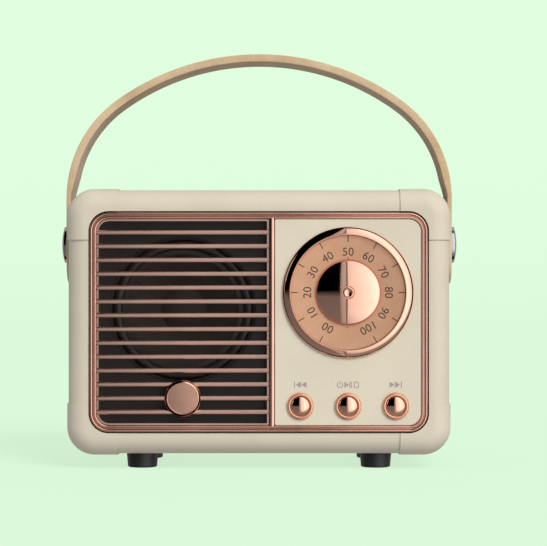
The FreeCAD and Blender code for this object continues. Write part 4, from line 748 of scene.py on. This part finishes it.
def strapLine():
    # matching points on the strap's outer and inner faces, right half, from the leg's end up to the crown
    low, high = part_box("strap")
    reach, top, foot = high[0] / mm, high[2] / mm, low[2] / mm
    side, rise, step = strap["sideRadius"], strap["rise"], strap["step"]
    crown = (reach ** 2 + rise ** 2 - 2 * reach * side) / (2 * (rise - side))
    spring, centre, thin = top - rise, reach - side, reach - strap["legThickness"]
    lean = math.atan2(centre, crown - rise)  # the arcs' joint, measured from the vertical
    inSide, inCrown = side - strap["thickness"], crown - strap["thickness"]
    shoulder = centre + math.sqrt(inSide ** 2 - strap["taperEnd"] ** 2)
    count = round((spring - foot) / step)
    heights = [foot + (spring - foot) * k / count for k in range(count)]
    pairs = [(Vector((reach, z)), Vector((thin, z))) for z in heights]
    count = round(side * (math.pi / 2 - lean) / step)
    for k in range(count):
        a = (math.pi / 2 - lean) * k / count
        across, up = centre + inSide * math.cos(a), inSide * math.sin(a)
        if up < strap["taperEnd"]:
            share = max(0, (up - strap["taperStart"]) / (strap["taperEnd"] - strap["taperStart"]))
            across = thin + (shoulder - thin) * share
        outer = Vector((centre + side * math.cos(a), spring + side * math.sin(a)))
        pairs.append((outer, Vector((across, spring + up))))
    count, hub = round(crown * lean / step), Vector((0, top - crown))
    for k in range(count + 1):
        a = lean * (1 - k / count)
        spoke = Vector((math.sin(a), math.cos(a)))
        pairs.append((hub + spoke * crown, hub + spoke * inCrown))
    return pairs


def buildStrap():
    low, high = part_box("strap")
    middleY = (low[1] + high[1]) / 2
    half = strapLine()
    mirrored = [tuple(Vector((-p.x, p.y)) for p in pair) for pair in reversed(half[:-1])]
    whole = half + mirrored
    foot, halfWidth = low[2] / mm, (high[1] - low[1]) / 2 / mm
    rounding = strap["rounding"]
    materials = [tannedLeather(),
                 cutLeather("dyedCutEdge", leather["edgeColour"], leather["edgeLow"], 0.6),
                 cutLeather("suedeFleshSide", leather["fleshColour"], leather["fleshLow"], 0.85)]

    def section(width):
        # right half of the section, top to bottom: across, share of the thickness, millimetres added outwards
        crease, half = strap["creaseInset"], strap["creaseWidth"] / 2
        top = [(0, 1, 0), (strap["spread"] * width, 1, 0), (width - crease - half, 1, 0),
               (width - crease, 1, -strap["creaseDepth"]),
               (width - crease + half, 1, 0), (width - rounding * 2, 1, 0)]
        corner = [(width - rounding * (1 - math.sin(a)), 1, -rounding * (1 - math.cos(a)))
                  for a in (0, math.pi / 8, math.pi / 4, math.pi * 3 / 8, math.pi / 2)]
        low = [(x, 0, -d) for x, s, d in reversed(corner)]
        inner = [(width - rounding * 2, 0, 0), (strap["spread"] * width, 0, 0), (0, 0, 0)]
        return top + corner + low + inner, len(top), len(corner + low) - 1

    def build(bm):
        rings, radius = [], strap["endRadius"]
        for outer, inner in whole:
            above = min(outer.y - foot, radius)
            width = halfWidth - radius + math.sqrt(max(radius ** 2 - (radius - above) ** 2, 0))
            through = outer - inner
            away = through.normalized()
            right, tops, edges = section(width)
            loop = right + [(-x, s, d) for x, s, d in reversed(right[1:-1])]
            ring = []
            for across, share, extra in loop:
                spot = inner + through * share + away * extra
                ring.append(bm.verts.new((spot.x * mm, middleY + across * mm, spot.y * mm)))
            rings.append(ring)
        size = len(rings[0])
        edgeFrom, edgeTo = tops, tops + edges
        for first, second in zip(rings, rings[1:]):
            for k in range(size):
                n = (k + 1) % size
                face = bm.faces.new((first[k], first[n], second[n], second[k]))
                place = k if k < size / 2 else size - 1 - k
                face.material_index = 0 if place < edgeFrom else 1 if place < edgeTo else 2
        for ring in (rings[0][::-1], rings[-1]):
            bm.faces.new(ring).material_index = 1
    mesh = meshFrom("leatherStrap", build)
    piece = newObject("leatherStrap", mesh, materials, "carrying_strap", 40)
    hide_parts("strap")
    print("strap ready")


rivet = {"shank": 2.0, "headRadius": 4.1, "rim": 0.95, "dome": 0.5, "edge": 0.35, "length": 6.8}


def buildRivets():
    polished = platedMetal("darkNickelRivet", "#c9c9c8", "#b6b6b5", 0.12)
    low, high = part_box("strap_rivets")
    centre = middle("strap_rivets")
    crown, dome = rivet["headRadius"] - rivet["edge"], rivet["dome"]
    for side, name in ((1, "rivetRight"), (-1, "rivetLeft")):
        top = Vector((high[0] * side, centre.y, centre.z))
        head = arcBetween((crown, -dome), (0, 0), (crown ** 2 + dome ** 2) / (2 * dome))
        base = -dome - rivet["rim"]
        bend = rivet["edge"]
        edge = [(crown + bend * math.cos(a), bend * math.sin(a) - dome - bend, 0)
                for a in (0, math.pi / 8, math.pi / 4, math.pi * 3 / 8)]
        corners = [(rivet["shank"], -rivet["length"], 0), (rivet["shank"], base, 0),
                   (rivet["headRadius"], base, 0.05), *edge, *head]
        piece = newObject(name, turnedMesh(name, softened(corners), top, (side, 0, 0), 128), polished,
                          "cabinet", 40)
        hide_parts("strap_rivets")
    print("rivets ready")


badge = {"radius": 4.0, "back": 1.1, "side": 0.55, "rimRadius": 3.42, "rimInner": 3.3, "front": 0.02,
         "faceRadius": 3.24, "faceDrop": 0.1, "faceBack": 0.6, "core": 0.5}


def buildBadge(mirror):
    low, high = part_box("badge")
    centre = Vector((middle("badge").x, low[1], middle("badge").z))
    spun = turnedAluminium("roseGoldAnodisedBadge", "#ecbba6", "#e2ae98", middle("badge"))
    outer, back, front, core = (badge[k] for k in ("radius", "back", "front", "core"))
    reach, drop, seat = badge["faceRadius"], badge["faceDrop"], badge["faceBack"]
    rim = [(core, -back, 0), (outer, -back, 0.05), (outer, -badge["side"], 0.2),
           (badge["rimRadius"], -front, 0.12), (badge["rimInner"], -front, 0.03),
           (reach - front, -drop - front, 0.03), (core, -core, 0)]
    face = [(0, -seat, 0), (reach, -seat, 0), (reach, -drop, 0.05), (0, -drop, 0)]
    for name, corners, finish in (("badgeRim", rim, mirror), ("badgeFace", face, spun)):
        mesh = turnedMesh(name, softened(corners), centre, (0, -1, 0), 128)
        piece = newObject(name, mesh, finish, "cabinet", 35)
        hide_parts("badge")
    print("badge ready")


rubberFoot = {"padRadius": 2.1, "padDrop": 0.25, "soleFrom": 2.35, "soleRadius": 3.23, "soleRise": 0.9,
              "waist": 3.28, "flare": 3.40, "flareRise": 2.3, "topRadius": 3.46, "shoulder": 2.75,
              "seat": 3.3, "stem": 1.5, "bulbRadius": 2.0, "bulbDrop": 1.4}


def buildFeet():
    rubber = speckledPlastic("blackFootRubber", "#222122", "#171617", 0.45, grain=0.3, depth=0.02)
    pad, drop, edge = rubberFoot["padRadius"], rubberFoot["padDrop"], rubberFoot["topRadius"]
    stem, seat = rubberFoot["stem"], rubberFoot["seat"]
    names = [f"foot_{end}_{side}" for end in ("front", "rear") for side in ("left", "right")]
    for name in names:
        centre = Vector((middle(name).x, middle(name).y, 0))
        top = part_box(name)[1][2] / mm
        bulb = top - rubberFoot["bulbDrop"]
        corners = [(0, drop, 0), (pad, drop, 0.15), (rubberFoot["soleFrom"], 0, 0.15),
                   (rubberFoot["soleRadius"], 0, 0.55), (rubberFoot["waist"], rubberFoot["soleRise"], 0.3),
                   (rubberFoot["flare"], rubberFoot["flareRise"], 0.2), (edge, rubberFoot["shoulder"], 0.1),
                   (edge, seat, 0), (stem, seat, 0), (stem, bulb, 0), (rubberFoot["bulbRadius"], bulb, 0.1),
                   (stem, top, 0.2), (0, top, 0)]
        mesh = turnedMesh(name, softened(corners), centre, (0, 0, 1), 96)
        piece = newObject(name.title().replace("_", ""), mesh, rubber, "cabinet", 40)
        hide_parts(name)
    print("feet ready")


buildCamera()
buildStage()
buildLights()
trimFinish = dressNodes()
buildTrim(trimFinish)
faceHeight = buildDialFace()
buildDialPrint(faceHeight)
mirrorFinish = buildBezel()
buildKnob(mirrorFinish)
buildButtons(mirrorFinish)
buildSymbols()
buildStrap()
buildRivets()
buildBadge(mirrorFinish)
buildFeet()

bpy.context.scene.view_settings.view_transform = "Standard"
